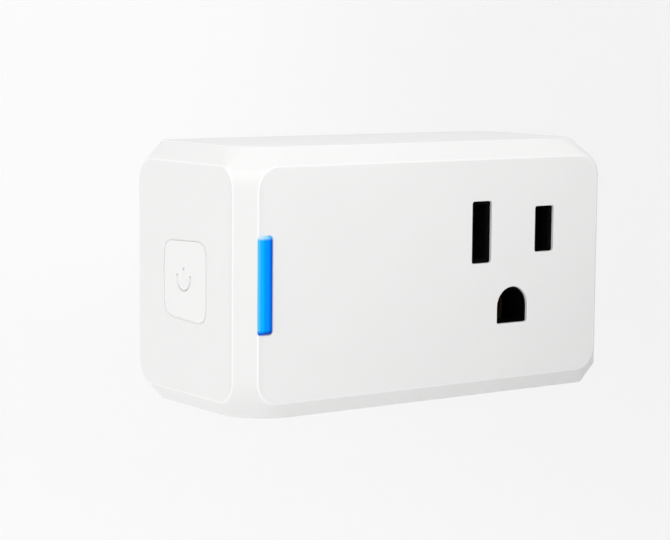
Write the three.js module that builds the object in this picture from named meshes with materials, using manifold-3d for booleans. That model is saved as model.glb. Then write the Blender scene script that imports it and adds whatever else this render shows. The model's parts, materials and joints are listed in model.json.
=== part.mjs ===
// Smart plug with one grounded North American receptacle, a side button and a light bar.
//
// Millimetres. The origin is on the flat wall-side face, midway between the two flat blades.
// Seen from the outlet side, +X is right and +Z is up; +Y points into the wall.

import * as THREE from "three";
import { ConvexGeometry } from "three/addons/geometries/ConvexGeometry.js";
import { mergeVertices } from "three/addons/utils/BufferGeometryUtils.js";
import Module from "manifold-3d";

const wasm = await Module();
wasm.setup();

// ---------------------------------------------------------------- driving dimensions

// The case: a box whose edges are all bevelled at 45 degrees.
const CASE_WIDTH = 70.4;
const CASE_HEIGHT = 39.9;
const CASE_DEPTH = 31.7;
const CASE_BEVEL = 2.7;
const CASE_WALL = 1.8;
const FLAT_CORNER = 3.3; // corner radius of the case's flats
const SOFT_CORNER = 7; // and of the top and bottom flats at their left front corners
const CASE_X = -15.2; // centre of the case, left of the receptacle
const CASE_Z = -5.95; // and below the slots

// The receptacle and the prongs share the standard positions.
const BLADE_X = 6.35; // half of the 12.7 mm spacing
const GROUND_Z = -11.9;
const BLADE_THICKNESS = 1.5;
const BLADE_WIDTH = 6.35;
const BLADE_LENGTH = 17;
const PUNCHED_HOLE = 11.4; // how far from the wall face the blades' holes lie
const PUNCHED_RADIUS = 1.55;
const GROUND_RADIUS = 2.38;
const GROUND_LENGTH = 20.2;

// Windows of the front cover, and the slots of the black carrier that shows in them.
const WINDOW_WIDTH = 3.9;
const NEUTRAL_WINDOW = 9.65;
const LINE_WINDOW = 7.25;
const WINDOW_CORNER = 0.4;
const GROUND_WINDOW_RADIUS = 3.1;
const GROUND_WINDOW_BELOW = 2.65; // from the ground hole's centre to its flat bottom
const SLOT_WIDTH = 2.4;
const NEUTRAL_SLOT = 8.4;
const LINE_SLOT = 6.9;
const GROUND_SLOT_RADIUS = 2.85;
const GROUND_SLOT_BELOW = 2.5;
const CARRIER_RECESS = 0.5; // the carrier's face lies this far behind the case's face

// The light bar, from the case's centre.
const LIGHT_LEFT = -32.4;
const LIGHT_RIGHT = -30.05;
const LIGHT_LOW = -6.85;
const LIGHT_HIGH = 7.3;
const LIGHT_CORNER = 0.4;
const LIGHT_PROUD = 0.35;
const LIGHT_EDGE = 0.5;
const LIGHT_FLANGE = 0.8;

// The button on the left side, which is taller at its front than at its rear, and its travel.
const BUTTON_WIDTH = 11.7;
const BUTTON_HEIGHT = 11.8; // at the middle of its width
const BUTTON_FLARE = 0.0075; // share of its height that it gains with each millimetre forwards
const BUTTON_CORNER = 1.6;
const BUTTON_Y = -16;
const BUTTON_Z = CASE_Z - 0.3;
const BUTTON_GAP = 0.15;
const BUTTON_TRAVEL = 0.35;
const BUTTON_FLANGE = 0.8;
const BUTTON_FLANGE_REACH = 1.1;
const BUTTON_STEM_RADIUS = 1.5;
const SYMBOL_Y = BUTTON_Y + 0.35;
const SYMBOL_Z = BUTTON_Z + 0.2;
const SYMBOL_RADIUS = 1.85;
const SYMBOL_STROKE = 0.4;
const SYMBOL_DEPTH = 0.2;
const SYMBOL_OPENING = (80 * Math.PI) / 180; // from the top to either end of the ring
const SYMBOL_BAR = [0.3, 1.55]; // the bar's ends above the ring's centre

// Stack-up from the wall face to the front.
const REAR_WALL = 2;
const LIP_DEPTH = 2.2;
const LIP_WALL = 1.2;
const LIP_GAP = 0.25;
const SEAT_FRONT = -4.6; // where the blade seats of the rear cover end
const SEAT_HALF_WIDTH = 2.6;
const SEAT_MARGIN = 2; // of a blade seat above and below its blade
const GROUND_SEAT_RADIUS = 4.4;
const BOARD_BACK = -6;
const BOARD_FRONT = -7.6;

// Four screws hold the covers together, and two hold the power board to posts of the front cover.
const POST_X = 29.6; // cover screws, from the case's centre
const POST_Z = 14;
const POST_RADIUS = 2.6;
const POST_RIB = 1; // thickness of the ribs that tie a post to the walls
const BOARD_POST_RADIUS = 2.4;
const PAD_RADIUS = 3.2; // pads of the rear cover round its screw holes
const COVER_SCREW_LENGTH = 11;
const COVER_HOLE_END = -17;
const BOARD_SCREW_LENGTH = 6;
const BOARD_HOLE_END = -14;
const SCREW_SEAT = 1.6; // depth of the recess that takes a cover screw's head
const SCREW_HEAD_RADIUS = 2.2;
const SCREW_HEAD_HEIGHT = 1.35;
const SCREW_SHANK_RADIUS = 1.05;
const SCREW_POINT = 1.4;
const CROSS_LENGTH = 2.6;
const CROSS_WIDTH = 0.5;
const CROSS_DEPTH = 0.75;

const GAP = 0.1; // between neighbours whose faces are parallel
const RUN = 0.3; // between neighbours that are round or slanted
const ROOT = 0.5; // how far a post or boss runs into the wall that it grows from
const REACH = 5; // how far a cutting tool runs past what it cuts

const CASE_FRONT = -CASE_DEPTH;
const CASE_LEFT = CASE_X - CASE_WIDTH / 2;
const INNER_FRONT = CASE_FRONT + CASE_WALL;
const INNER_HALF_WIDTH = CASE_WIDTH / 2 - CASE_WALL;
const INNER_HALF_HEIGHT = CASE_HEIGHT / 2 - CASE_WALL;
const INNER_BEVEL = CASE_BEVEL - CASE_WALL * (2 - Math.SQRT2);
const ROOM_CORNER = 1.5;
const LIP_FRONT = -CASE_BEVEL - LIP_DEPTH;
const LIGHT_BACK = INNER_FRONT + 2.6;

// Finishes, one material each when a part is made.
const LOOKS = {
  caseWhite: { color: 0xf1f1f0, roughness: 0.5, metalness: 0 },
  carrierBlack: { color: 0x060606, roughness: 0.8, metalness: 0 },
  lightBlue: { color: 0x0096fd, roughness: 0.2, metalness: 0, emissive: 0x0060c0 },
  brass: { color: 0xc8a050, roughness: 0.35, metalness: 1 },
  copper: { color: 0xb5683a, roughness: 0.4, metalness: 1 },
  steel: { color: 0xb4b6b8, roughness: 0.35, metalness: 1 },
  tin: { color: 0xc9cacb, roughness: 0.3, metalness: 1 },
  boardGreen: { color: 0x1f5a38, roughness: 0.45, metalness: 0 },
  boardBlue: { color: 0x1b3358, roughness: 0.45, metalness: 0 },
  relayBlack: { color: 0x1d1e20, roughness: 0.5, metalness: 0 },
  nylon: { color: 0xd9d4c6, roughness: 0.55, metalness: 0 },
  ferrite: { color: 0x3a3a3c, roughness: 0.7, metalness: 0 },
  sleeveBlack: { color: 0x22242a, roughness: 0.35, metalness: 0 },
  filmYellow: { color: 0xd8b23a, roughness: 0.45, metalness: 0 },
  varistorBlue: { color: 0x2a5fa8, roughness: 0.35, metalness: 0 },
  resistorGreen: { color: 0x7f9a76, roughness: 0.6, metalness: 0 },
  tapeYellow: { color: 0xe2c544, roughness: 0.4, metalness: 0 },
  chipBlack: { color: 0x151515, roughness: 0.6, metalness: 0 },
  clearLens: { color: 0xe8eef2, roughness: 0.15, metalness: 0 },
};

// ---------------------------------------------------------------- solids

const isSolid = (piece) => piece instanceof wasm.Manifold;

function solid(piece) {
  if (isSolid(piece)) return piece;
  const bare = piece.clone();
  bare.deleteAttribute("normal");
  bare.deleteAttribute("uv");
  const merged = mergeVertices(bare, 1e-4);
  const mesh = new wasm.Mesh({
    numProp: 3,
    vertProperties: new Float32Array(merged.attributes.position.array),
    triVerts: new Uint32Array(merged.index.array),
  });
  return new wasm.Manifold(mesh);
}

const join = (...pieces) => pieces.map(solid).reduce((sum, piece) => sum.add(piece));
const cut = (body, ...tools) => tools.map(solid).reduce((rest, tool) => rest.subtract(tool), solid(body));
const common = (...pieces) => pieces.map(solid).reduce((sum, piece) => sum.intersect(piece));

function geometryOf(piece) {
  if (!isSolid(piece)) return piece;
  const { vertProperties, triVerts } = piece.getMesh();
  const indexed = new THREE.BufferGeometry();
  indexed.setAttribute("position", new THREE.BufferAttribute(vertProperties, 3));
  indexed.setIndex(new THREE.BufferAttribute(triVerts, 1));
  const geometry = indexed.toNonIndexed();
  geometry.computeVertexNormals();
  return geometry;
}

function addPart(group, name, look, piece) {
  const mesh = new THREE.Mesh(geometryOf(piece), new THREE.MeshStandardMaterial({ ...look }));
  mesh.name = name;
  group.add(mesh);
  return mesh;
}

// ---------------------------------------------------------------- shapes

// A box between two limits along each axis.
function block([x0, x1], [y0, y1], [z0, z1]) {
  const box = new THREE.BoxGeometry(x1 - x0, y1 - y0, z1 - z0);
  return box.translate((x0 + x1) / 2, (y0 + y1) / 2, (z0 + z1) / 2);
}

// The limits that lie a half size either side of a centre.
const about = (centre, half) => [centre - half, centre + half];

// A rectangle with round corners, whose lower left corner may have a radius of its own.
function roundedRect(width, height, radius, x = 0, y = 0, lowerLeftRadius = radius) {
  const quarter = Math.PI / 2;
  const shape = new THREE.Shape();
  const corners = [
    [1, -1, radius],
    [1, 1, radius],
    [-1, 1, radius],
    [-1, -1, lowerLeftRadius],
  ];
  corners.forEach(([right, up, round], i) => {
    const centre = [x + right * (width / 2 - round), y + up * (height / 2 - round)];
    shape.absarc(...centre, round, (i - 1) * quarter, i * quarter);
  });
  shape.closePath();
  return shape;
}

// A round-topped hole with a flat bottom, drawn about the round part's centre.
function archShape(radius, below, x = 0, y = 0) {
  const shape = new THREE.Shape();
  shape.moveTo(x - radius, y - below);
  shape.lineTo(x + radius, y - below);
  shape.absarc(x, y, radius, 0, Math.PI);
  shape.closePath();
  return shape;
}

// An even strip of sheet metal bent along a line of points.
function stripShape(points, thickness) {
  const line = points.map(([x, y]) => new THREE.Vector2(x, y));
  const side = (sign) =>
    line.map((point, i) => {
      const before = line[Math.max(i - 1, 0)];
      const after = line[Math.min(i + 1, line.length - 1)];
      const along = [point.clone().sub(before), after.clone().sub(point)].filter((v) => v.length() > 0);
      const [first, last] = [along[0].normalize(), along[along.length - 1].normalize()];
      const normal = new THREE.Vector2(-first.y - last.y, first.x + last.x).normalize();
      const mitre = thickness / 2 / normal.dot(new THREE.Vector2(-first.y, first.x));
      return point.clone().addScaledVector(normal, sign * mitre);
    });
  return new THREE.Shape([...side(-1), ...side(1).reverse()]);
}

const extrude = (shape, depth, curveSegments) =>
  new THREE.ExtrudeGeometry(shape, { depth, curveSegments, bevelEnabled: false });

// A shape drawn in X and Z, solid from y0 to y1.
function plateY(shape, [y0, y1], curveSegments = 2) {
  return extrude(shape, y1 - y0, curveSegments)
    .rotateX(Math.PI / 2)
    .translate(0, y1, 0);
}

// A shape drawn in Y and Z, solid from x0 to x1.
function plateX(shape, [x0, x1], curveSegments = 2) {
  const axes = [new THREE.Vector3(0, 1, 0), new THREE.Vector3(0, 0, 1), new THREE.Vector3(1, 0, 0)];
  return extrude(shape, x1 - x0, curveSegments)
    .applyMatrix4(new THREE.Matrix4().makeBasis(...axes))
    .translate(x0, 0, 0);
}

// A shape drawn in X and Y, solid from z0 to z1.
function plateZ(shape, [z0, z1], curveSegments = 2) {
  return extrude(shape, z1 - z0, curveSegments).translate(0, 0, z0);
}

// Round bars along each axis, between two limits.
function rodY(radius, [y0, y1], x, z, sides = 16) {
  return new THREE.CylinderGeometry(radius, radius, y1 - y0, sides).translate(x, (y0 + y1) / 2, z);
}

function rodZ(radius, [z0, z1], x, y, sides = 16) {
  const rod = new THREE.CylinderGeometry(radius, radius, z1 - z0, sides).rotateX(Math.PI / 2);
  return rod.translate(x, y, (z0 + z1) / 2);
}

function rodX(radius, [x0, x1], y, z, sides = 16) {
  const rod = new THREE.CylinderGeometry(radius, radius, x1 - x0, sides).rotateZ(Math.PI / 2);
  return rod.translate((x0 + x1) / 2, y, z);
}

// A turned solid about the Y axis, from a profile of [radius, y] points that rises along Y.
function turned(profile, sides = 16) {
  return new THREE.LatheGeometry(
    profile.map(([radius, y]) => new THREE.Vector2(radius, y)),
    sides,
  );
}

// Points along a quarter circle in a turned profile, from one angle to another.
function arcPoints(x, y, radius, from, to, steps = 4) {
  return Array.from({ length: steps + 1 }, (_, i) => {
    const angle = from + ((to - from) * i) / steps;
    return [x + radius * Math.cos(angle), y + radius * Math.sin(angle)];
  });
}

// A box with every edge bevelled: the hull of its six flats, centred on the origin. The top and
// bottom flats have softer left front corners, and each corner takes twice cornerSteps edges.
function bevelledBox(size, bevel, corner, softCorner, cornerSteps) {
  const half = size.clone().multiplyScalar(0.5);
  const flat = size.clone().subScalar(2 * bevel);
  const face = (width) => roundedRect(width, flat.z, corner).getPoints(cornerSteps);
  const roof = roundedRect(flat.x, flat.y, corner, 0, 0, softCorner).getPoints(cornerSteps);
  const points = [-1, 1].flatMap((side) => [
    ...face(flat.x).map((p) => new THREE.Vector3(p.x, side * half.y, p.y)),
    ...face(flat.y).map((p) => new THREE.Vector3(side * half.x, p.x, p.y)),
    ...roof.map((p) => new THREE.Vector3(p.x, p.y, side * half.z)),
  ]);
  return new ConvexGeometry(points);
}

// ---------------------------------------------------------------- case

// The cover screws' places, and the board screws', as [x, z].
const COVER_SCREWS = [-1, 1].flatMap((side) => [-1, 1].map((level) => [side, level]));
const coverScrewPlace = ([side, level]) => [CASE_X + side * POST_X, CASE_Z + level * POST_Z];
const BOARD_SCREWS = [
  [CASE_X + 29.4, CASE_Z],
  [CASE_X - 13.4, CASE_Z + 14.6],
];

function caseForm() {
  const size = new THREE.Vector3(CASE_WIDTH, CASE_DEPTH, CASE_HEIGHT);
  const form = bevelledBox(size, CASE_BEVEL, FLAT_CORNER, SOFT_CORNER, 2);
  return form.translate(CASE_X, -CASE_DEPTH / 2, CASE_Z);
}

// The room inside the walls, less a gap all round, running out past the wall face.
function roomForm(gap) {
  const front = INNER_FRONT + gap;
  const depth = REACH - front;
  const size = new THREE.Vector3(2 * (INNER_HALF_WIDTH - gap), depth, 2 * (INNER_HALF_HEIGHT - gap));
  const form = bevelledBox(size, INNER_BEVEL, ROOM_CORNER, ROOM_CORNER, 1);
  return form.translate(CASE_X, front + depth / 2, CASE_Z);
}

// Everything between two depths, wide enough to cover the case.
const layer = (limits) => block(about(CASE_X, CASE_WIDTH), limits, about(CASE_Z, CASE_HEIGHT));

// The outlines of the receptacle's three windows, each drawn in by a gap.
function windowShapes(gap) {
  const width = WINDOW_WIDTH - 2 * gap;
  const corner = WINDOW_CORNER - gap;
  return [
    roundedRect(width, NEUTRAL_WINDOW - 2 * gap, corner, -BLADE_X),
    roundedRect(width, LINE_WINDOW - 2 * gap, corner, BLADE_X),
    archShape(GROUND_WINDOW_RADIUS - gap, GROUND_WINDOW_BELOW - gap, 0, GROUND_Z),
  ];
}

function lightShape(inset) {
  return roundedRect(
    LIGHT_RIGHT - LIGHT_LEFT - 2 * inset,
    LIGHT_HIGH - LIGHT_LOW - 2 * inset,
    Math.max(LIGHT_CORNER - inset, LIGHT_CORNER / 4),
    CASE_X + (LIGHT_LEFT + LIGHT_RIGHT) / 2,
    CASE_Z + (LIGHT_LOW + LIGHT_HIGH) / 2,
  );
}

function buttonShape(grow) {
  const square = roundedRect(BUTTON_WIDTH + 2 * grow, BUTTON_HEIGHT + 2 * grow, BUTTON_CORNER + grow);
  const flared = (p) => new THREE.Vector2(BUTTON_Y + p.x, BUTTON_Z + p.y * (1 - BUTTON_FLARE * p.x));
  return new THREE.Shape(square.getPoints(2).map(flared));
}

// A screw post on the front wall, tied to the side wall and to the roof or floor by two ribs.
function coverPost([side, level]) {
  const [x, z] = coverScrewPlace([side, level]);
  const end = LIP_FRONT - RUN;
  const along = [INNER_FRONT + POST_RIB, end - POST_RIB];
  const ribX = about(x + (side * POST_RADIUS) / 2, (INNER_HALF_WIDTH - POST_X) / 2 + POST_RIB);
  const ribZ = about(z + (level * POST_RADIUS) / 2, (INNER_HALF_HEIGHT - POST_Z) / 2 + POST_RIB);
  return join(
    rodY(POST_RADIUS, [INNER_FRONT - ROOT, end], x, z),
    block(ribX, along, about(z, POST_RIB / 2)),
    block(about(x, POST_RIB / 2), along, ribZ),
  );
}

function frontCover() {
  const shell = common(cut(caseForm(), roomForm(0)), layer([CASE_FRONT - REACH, -CASE_BEVEL]));
  const posts = COVER_SCREWS.map(coverPost);
  const boardPosts = BOARD_SCREWS.map(([x, z]) =>
    rodY(BOARD_POST_RADIUS, [INNER_FRONT - ROOT, BOARD_FRONT], x, z),
  );
  const frontWall = [CASE_FRONT - REACH, INNER_FRONT + ROOT];
  const sideWall = [CASE_LEFT - REACH, CASE_LEFT + CASE_WALL + ROOT];
  const holeRadius = SCREW_SHANK_RADIUS + RUN;
  return cut(
    join(shell, ...posts, ...boardPosts),
    ...windowShapes(0).map((shape) => plateY(shape, frontWall, 6)),
    plateY(lightShape(-GAP), [CASE_FRONT - REACH, LIGHT_BACK]),
    plateX(buttonShape(BUTTON_GAP), sideWall),
    ...COVER_SCREWS.map(coverScrewPlace).map(([x, z]) => rodY(holeRadius, [COVER_HOLE_END, 0], x, z, 12)),
    ...BOARD_SCREWS.map(([x, z]) => rodY(holeRadius, [BOARD_HOLE_END, 0], x, z, 12)),
  );
}

// The rear cover's wall, its lip inside the front cover, its screw pads and its prong seats.
function rearCover() {
  const behind = [LIP_FRONT, -REAR_WALL / 2];
  const seatLimits = [SEAT_FRONT, -REAR_WALL / 2];
  const wall = cut(
    common(caseForm(), layer([-CASE_BEVEL, REACH])),
    common(roomForm(LIP_WALL), layer([-CASE_DEPTH, -REAR_WALL])),
  );
  const lipLayer = layer([LIP_FRONT, GAP - REAR_WALL]);
  const lip = common(cut(roomForm(LIP_GAP), roomForm(LIP_GAP + LIP_WALL)), lipLayer);
  const pads = COVER_SCREWS.map(coverScrewPlace).map(([x, z]) => rodY(PAD_RADIUS, behind, x, z));
  const seats = [-BLADE_X, BLADE_X].map((x) =>
    block(about(x, SEAT_HALF_WIDTH), seatLimits, about(0, BLADE_WIDTH / 2 + SEAT_MARGIN)),
  );
  const groundSeat = rodY(GROUND_SEAT_RADIUS, seatLimits, 0, GROUND_Z);
  const through = [-CASE_DEPTH, REACH];
  const bladeHoles = [-BLADE_X, BLADE_X].map((x) =>
    block(about(x, BLADE_THICKNESS / 2 + GAP), through, about(0, BLADE_WIDTH / 2 + GAP)),
  );
  const groundHole = rodY(GROUND_RADIUS + RUN, through, 0, GROUND_Z, 20);
  const screwHoles = COVER_SCREWS.map(coverScrewPlace).flatMap(([x, z]) => [
    rodY(SCREW_SHANK_RADIUS + RUN, through, x, z, 12),
    rodY(SCREW_HEAD_RADIUS + RUN, [-SCREW_SEAT, REACH], x, z),
  ]);
  return cut(join(wall, lip, ...pads, ...seats, groundSeat), ...bladeHoles, groundHole, ...screwHoles);
}

// A self-tapping pan-head screw along Y: its head's seat at y = 0 and its point towards -Y.
function screw(length) {
  const edge = 0.35;
  const body = turned([
    [0, -length],
    [SCREW_SHANK_RADIUS, SCREW_POINT - length],
    [SCREW_SHANK_RADIUS, 0],
    [SCREW_HEAD_RADIUS, 0],
    [SCREW_HEAD_RADIUS, SCREW_HEAD_HEIGHT - edge],
    [SCREW_HEAD_RADIUS - edge, SCREW_HEAD_HEIGHT],
    [0, SCREW_HEAD_HEIGHT],
  ]);
  const crossDeep = [SCREW_HEAD_HEIGHT - CROSS_DEPTH, SCREW_HEAD_HEIGHT + REACH];
  return cut(
    body,
    block(about(0, CROSS_LENGTH / 2), crossDeep, about(0, CROSS_WIDTH / 2)),
    block(about(0, CROSS_WIDTH / 2), crossDeep, about(0, CROSS_LENGTH / 2)),
  );
}

// ---------------------------------------------------------------- button and light

// The power symbol: a ring that is open at the top, with a short bar in the opening.
function powerSymbol(limits) {
  const outer = SYMBOL_RADIUS + SYMBOL_STROKE / 2;
  const inner = SYMBOL_RADIUS - SYMBOL_STROKE / 2;
  const start = Math.PI / 2 + SYMBOL_OPENING;
  const end = (5 * Math.PI) / 2 - SYMBOL_OPENING;
  const ring = new THREE.Shape();
  ring.absarc(0, 0, outer, start, end);
  ring.absarc(0, 0, inner, end, start, true);
  ring.closePath();
  const bar = block(limits, about(SYMBOL_Y, SYMBOL_STROKE / 2), SYMBOL_BAR.map((up) => SYMBOL_Z + up));
  return join(plateX(ring, limits, 6).translate(0, SYMBOL_Y, SYMBOL_Z), bar);
}

// The button's cap, the flange that keeps it in, and the stem that presses the switch.
function sideButton() {
  const capEnd = CASE_LEFT + CASE_WALL + GAP;
  const flange = [capEnd, capEnd + BUTTON_FLANGE];
  const flangeHalf = BUTTON_WIDTH / 2 + BUTTON_FLANGE_REACH;
  return cut(
    join(
      plateX(buttonShape(0), [CASE_LEFT, flange[1]]),
      block(flange, about(BUTTON_Y, flangeHalf), about(BUTTON_Z, flangeHalf)),
      rodX(BUTTON_STEM_RADIUS, [capEnd, PLUNGER_TOP - GAP / 2], BUTTON_Y, BUTTON_Z),
    ),
    powerSymbol([CASE_LEFT - REACH, CASE_LEFT + SYMBOL_DEPTH]),
  );
}

// The light bar's front stands a little proud of the case and is bevelled all round.
function lightBar() {
  const at = (inset, y) =>
    lightShape(inset)
      .getPoints(1)
      .map((point) => new THREE.Vector3(point.x, y, point.y));
  const proud = CASE_FRONT - LIGHT_PROUD;
  const bar = new ConvexGeometry([
    ...at(0, LIGHT_BACK),
    ...at(0, CASE_FRONT + LIGHT_EDGE / 2),
    ...at(LIGHT_EDGE, proud),
  ]);
  const flange = block(
    [CASE_X + LIGHT_LEFT + 1, CASE_X + LIGHT_RIGHT + LIGHT_FLANGE],
    [INNER_FRONT + GAP, INNER_FRONT + 1],
    [CASE_Z + LIGHT_LOW - LIGHT_FLANGE, CASE_Z + LIGHT_HIGH + LIGHT_FLANGE],
  );
  return join(bar, flange);
}

// ---------------------------------------------------------------- receptacle

const CARRIER_BACK = BOARD_FRONT - 0.4;
const CHAMBER_FRONT = INNER_FRONT + 2.4;
const GROUND_CHAMBER = 4.2;

function outletCarrier() {
  const face = CASE_FRONT + CARRIER_RECESS;
  const body = block([-11.4, 11.4], [INNER_FRONT, CARRIER_BACK], [GROUND_Z - 5.7, 6.6]);
  const bosses = windowShapes(GAP / 2).map((shape) => plateY(shape, [face, INNER_FRONT + 0.5], 6));
  const through = [CASE_FRONT - 1, CHAMBER_FRONT + 1];
  const slots = [
    plateY(roundedRect(SLOT_WIDTH, NEUTRAL_SLOT, 0.3, -BLADE_X), through),
    plateY(roundedRect(SLOT_WIDTH, LINE_SLOT, 0.3, BLADE_X), through),
    plateY(archShape(GROUND_SLOT_RADIUS, GROUND_SLOT_BELOW, 0, GROUND_Z), through, 6),
  ];
  const deep = [CHAMBER_FRONT, CARRIER_BACK + 1];
  const chambers = [
    block(about(-BLADE_X, 2.9), deep, about(0, 5)),
    block(about(BLADE_X, 2.9), deep, about(0, 4.4)),
    block(about(0, GROUND_CHAMBER), deep, about(GROUND_Z, GROUND_CHAMBER)),
  ];
  return cut(join(body, ...bosses), ...slots, ...chambers);
}

// A two-leaf clip seen from above, symmetric about x = 0, opening towards the front.
function clipShape({ base, half, pinch, mouth, knee, throat, lip, thickness }) {
  const leaf = [
    [half, base],
    [half, knee],
    [pinch, throat],
    [mouth, lip],
  ];
  const mirrored = leaf.map(([x, y]) => [-x, y]).reverse();
  return stripShape([...mirrored, ...leaf], thickness);
}

const BLADE_CLIP = {
  base: -9.3,
  half: 2.3,
  pinch: 0.85,
  mouth: 1.75,
  knee: -14,
  throat: -23,
  lip: -26.4,
  thickness: 0.5,
};

const GROUND_CLIP = {
  base: -8.25,
  half: 3.4,
  pinch: 2.65,
  mouth: 3.4,
  knee: -13,
  throat: -21.5,
  lip: -25,
  thickness: 0.6,
};

const TAIL_DROP = -2.2; // the blade contacts' tails pass the board below the blades' own tails

function bladeContact(height) {
  const clip = plateZ(clipShape(BLADE_CLIP), about(0, height / 2));
  const tail = block(about(0, 0.3), [BLADE_CLIP.base, BOARD_BACK - 0.3], about(TAIL_DROP, 1.3));
  return join(clip, tail);
}

function groundContact() {
  const clip = plateZ(clipShape(GROUND_CLIP), about(0, 3.2));
  return cut(clip, rodY(PIN_TAIL_RADIUS + RUN, about(GROUND_CLIP.base, 1), 0, 0));
}

// ---------------------------------------------------------------- prongs

const PIN_TAIL_RADIUS = 1.2;
const TAIL_END = BOARD_FRONT - 1.1;

// A flat blade with a punched hole, seen from the side, with its shoulder and its soldered tail.
function flatBlade() {
  const half = BLADE_WIDTH / 2;
  const corner = 1.1;
  const shoulder = 4.4;
  const tailLow = 0.6;
  const tailHigh = 3.2;
  const side = new THREE.Shape(
    [
      [SEAT_FRONT, -half],
      [BLADE_LENGTH - corner, -half],
      [BLADE_LENGTH, corner - half],
      [BLADE_LENGTH, half - corner],
      [BLADE_LENGTH - corner, half],
      [SEAT_FRONT, half],
      [SEAT_FRONT, shoulder],
      [BOARD_BACK, shoulder],
      [BOARD_BACK, tailHigh],
      [TAIL_END, tailHigh],
      [TAIL_END, tailLow],
      [BOARD_BACK, tailLow],
      [BOARD_BACK, -shoulder],
      [SEAT_FRONT, -shoulder],
    ].map(([y, z]) => new THREE.Vector2(y, z)),
  );
  const thin = BLADE_THICKNESS / 2;
  const tip = 0.45;
  const above = new THREE.Shape(
    [
      [-thin, TAIL_END - 1],
      [thin, TAIL_END - 1],
      [thin, BLADE_LENGTH - 2 * tip],
      [thin - tip, BLADE_LENGTH],
      [tip - thin, BLADE_LENGTH],
      [-thin, BLADE_LENGTH - 2 * tip],
    ].map(([x, y]) => new THREE.Vector2(x, y)),
  );
  const blade = common(plateX(side, about(0, BLADE_THICKNESS)), plateZ(above, about(0, BLADE_WIDTH)));
  return cut(blade, rodX(PUNCHED_RADIUS, about(0, BLADE_THICKNESS), PUNCHED_HOLE, 0, 20));
}

function groundPin() {
  const nose = 1.9;
  const shoulder = 3.4;
  return turned([
    [0, TAIL_END],
    [PIN_TAIL_RADIUS, TAIL_END],
    [PIN_TAIL_RADIUS, BOARD_BACK],
    [shoulder, BOARD_BACK],
    [shoulder, SEAT_FRONT],
    [GROUND_RADIUS, SEAT_FRONT],
    ...arcPoints(GROUND_RADIUS - nose, GROUND_LENGTH - nose, nose, 0, Math.PI / 2, 3),
    [0, GROUND_LENGTH],
  ], 20);
}

// ---------------------------------------------------------------- power board

function powerBoard() {
  const halfWidth = 32.6;
  const halfHeight = 17.2;
  const notch = 6.2;
  const limits = [BOARD_FRONT, BOARD_BACK];
  const board = block(about(CASE_X, halfWidth), limits, about(CASE_Z, halfHeight));
  const notches = COVER_SCREWS.map(([side, level]) =>
    block(
      about(CASE_X + side * halfWidth, notch),
      [BOARD_FRONT - 1, 0],
      about(CASE_Z + level * halfHeight, notch),
    ),
  );
  const deep = [BOARD_FRONT - 1, 0];
  const tailSlots = [-BLADE_X, BLADE_X].flatMap((x) => [
    block(about(x, BLADE_THICKNESS / 2 + RUN), deep, about(1.9, 1.3 + RUN)),
    block(about(x, 0.3 + RUN), deep, about(TAIL_DROP, 1.3 + RUN)),
  ]);
  const pinHole = rodY(PIN_TAIL_RADIUS + RUN, deep, 0, GROUND_Z);
  const screwHoles = BOARD_SCREWS.map(([x, z]) => rodY(SCREW_SHANK_RADIUS + RUN, deep, x, z, 16));
  return cut(board, ...notches, ...tailSlots, pinHole, ...screwHoles);
}

// Parts on the power board are drawn standing on it: x is the case's X, y its Z, z the height.
function boardMounted(x, z) {
  const group = new THREE.Group();
  group.position.set(x, BOARD_FRONT, z);
  group.rotation.x = Math.PI / 2;
  return group;
}

// Turned parts that stand on the board.
const standing = (profile, sides) => turned(profile, sides).rotateX(Math.PI / 2);

function canCapacitor(radius, height) {
  const edge = 0.6;
  const neck = 0.35;
  const crimp = 2;
  return standing([
    [0, GAP],
    [radius - edge, GAP],
    [radius, GAP + edge],
    [radius, crimp],
    [radius - neck, crimp + neck],
    [radius, crimp + 2 * neck],
    [radius, height - edge],
    [radius - edge, height],
    [radius - 1.2, height],
    [radius - 1.5, height - 0.25],
    [0, height - 0.25],
  ]);
}

function filmCapacitor() {
  return plateZ(roundedRect(13, 5.6, 0.7), [GAP, 11.2]);
}

function varistor() {
  const radius = 4.2;
  const lift = 5.6;
  const lead = 0.35;
  const halfThickness = 1.8;
  const edge = 0.9;
  const leadX = 2.5;
  const disc = turned([
    [0, -halfThickness],
    [radius - edge, -halfThickness],
    [radius, edge - halfThickness],
    [radius, halfThickness - edge],
    [radius - edge, halfThickness],
    [0, halfThickness],
  ]).translate(0, 0, lift);
  const leads = [-leadX, leadX].map((x) => rodZ(lead, [GAP, lift], x, 0, 8));
  return join(disc, ...leads);
}

function fuseResistor() {
  const waist = 1.4;
  const bulge = 1.75;
  const lead = 0.35;
  return standing(
    [
      [0, GAP],
      [lead, GAP],
      [lead, 1.2],
      [bulge, 1.5],
      [bulge, 3],
      [waist, 3.5],
      [waist, 7.5],
      [bulge, 8],
      [bulge, 9.5],
      [0, 9.8],
    ],
    16,
  );
}

function filterChoke() {
  const rim = 2.7;
  const wound = 2.3;
  return standing(
    [
      [0, GAP],
      [rim, GAP],
      [rim, 1],
      [wound, 1.1],
      [wound, 7],
      [rim, 7.1],
      [rim, 8],
      [0, 8],
    ],
    20,
  );
}

// A moulded chip with gull-wing legs along two sides, on the wall side of the board.
function moulded(width, length, height, legs) {
  const pitch = width / legs;
  const legHalf = 0.25;
  const reach = length / 2 + 0.9;
  const body = plateZ(roundedRect(width, length, 0.3), [0.25, height], 1);
  const places = Array.from({ length: legs }, (_, i) => (i - (legs - 1) / 2) * pitch);
  return join(body, ...places.map((x) => block(about(x, legHalf), about(0, reach), [0.05, 0.35])));
}

// ---------------------------------------------------------------- transformer

const CORE = { width: 11, height: 10, leg: 2.6, yoke: 1.6, depth: 4.4, lift: 1.2 };

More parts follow.
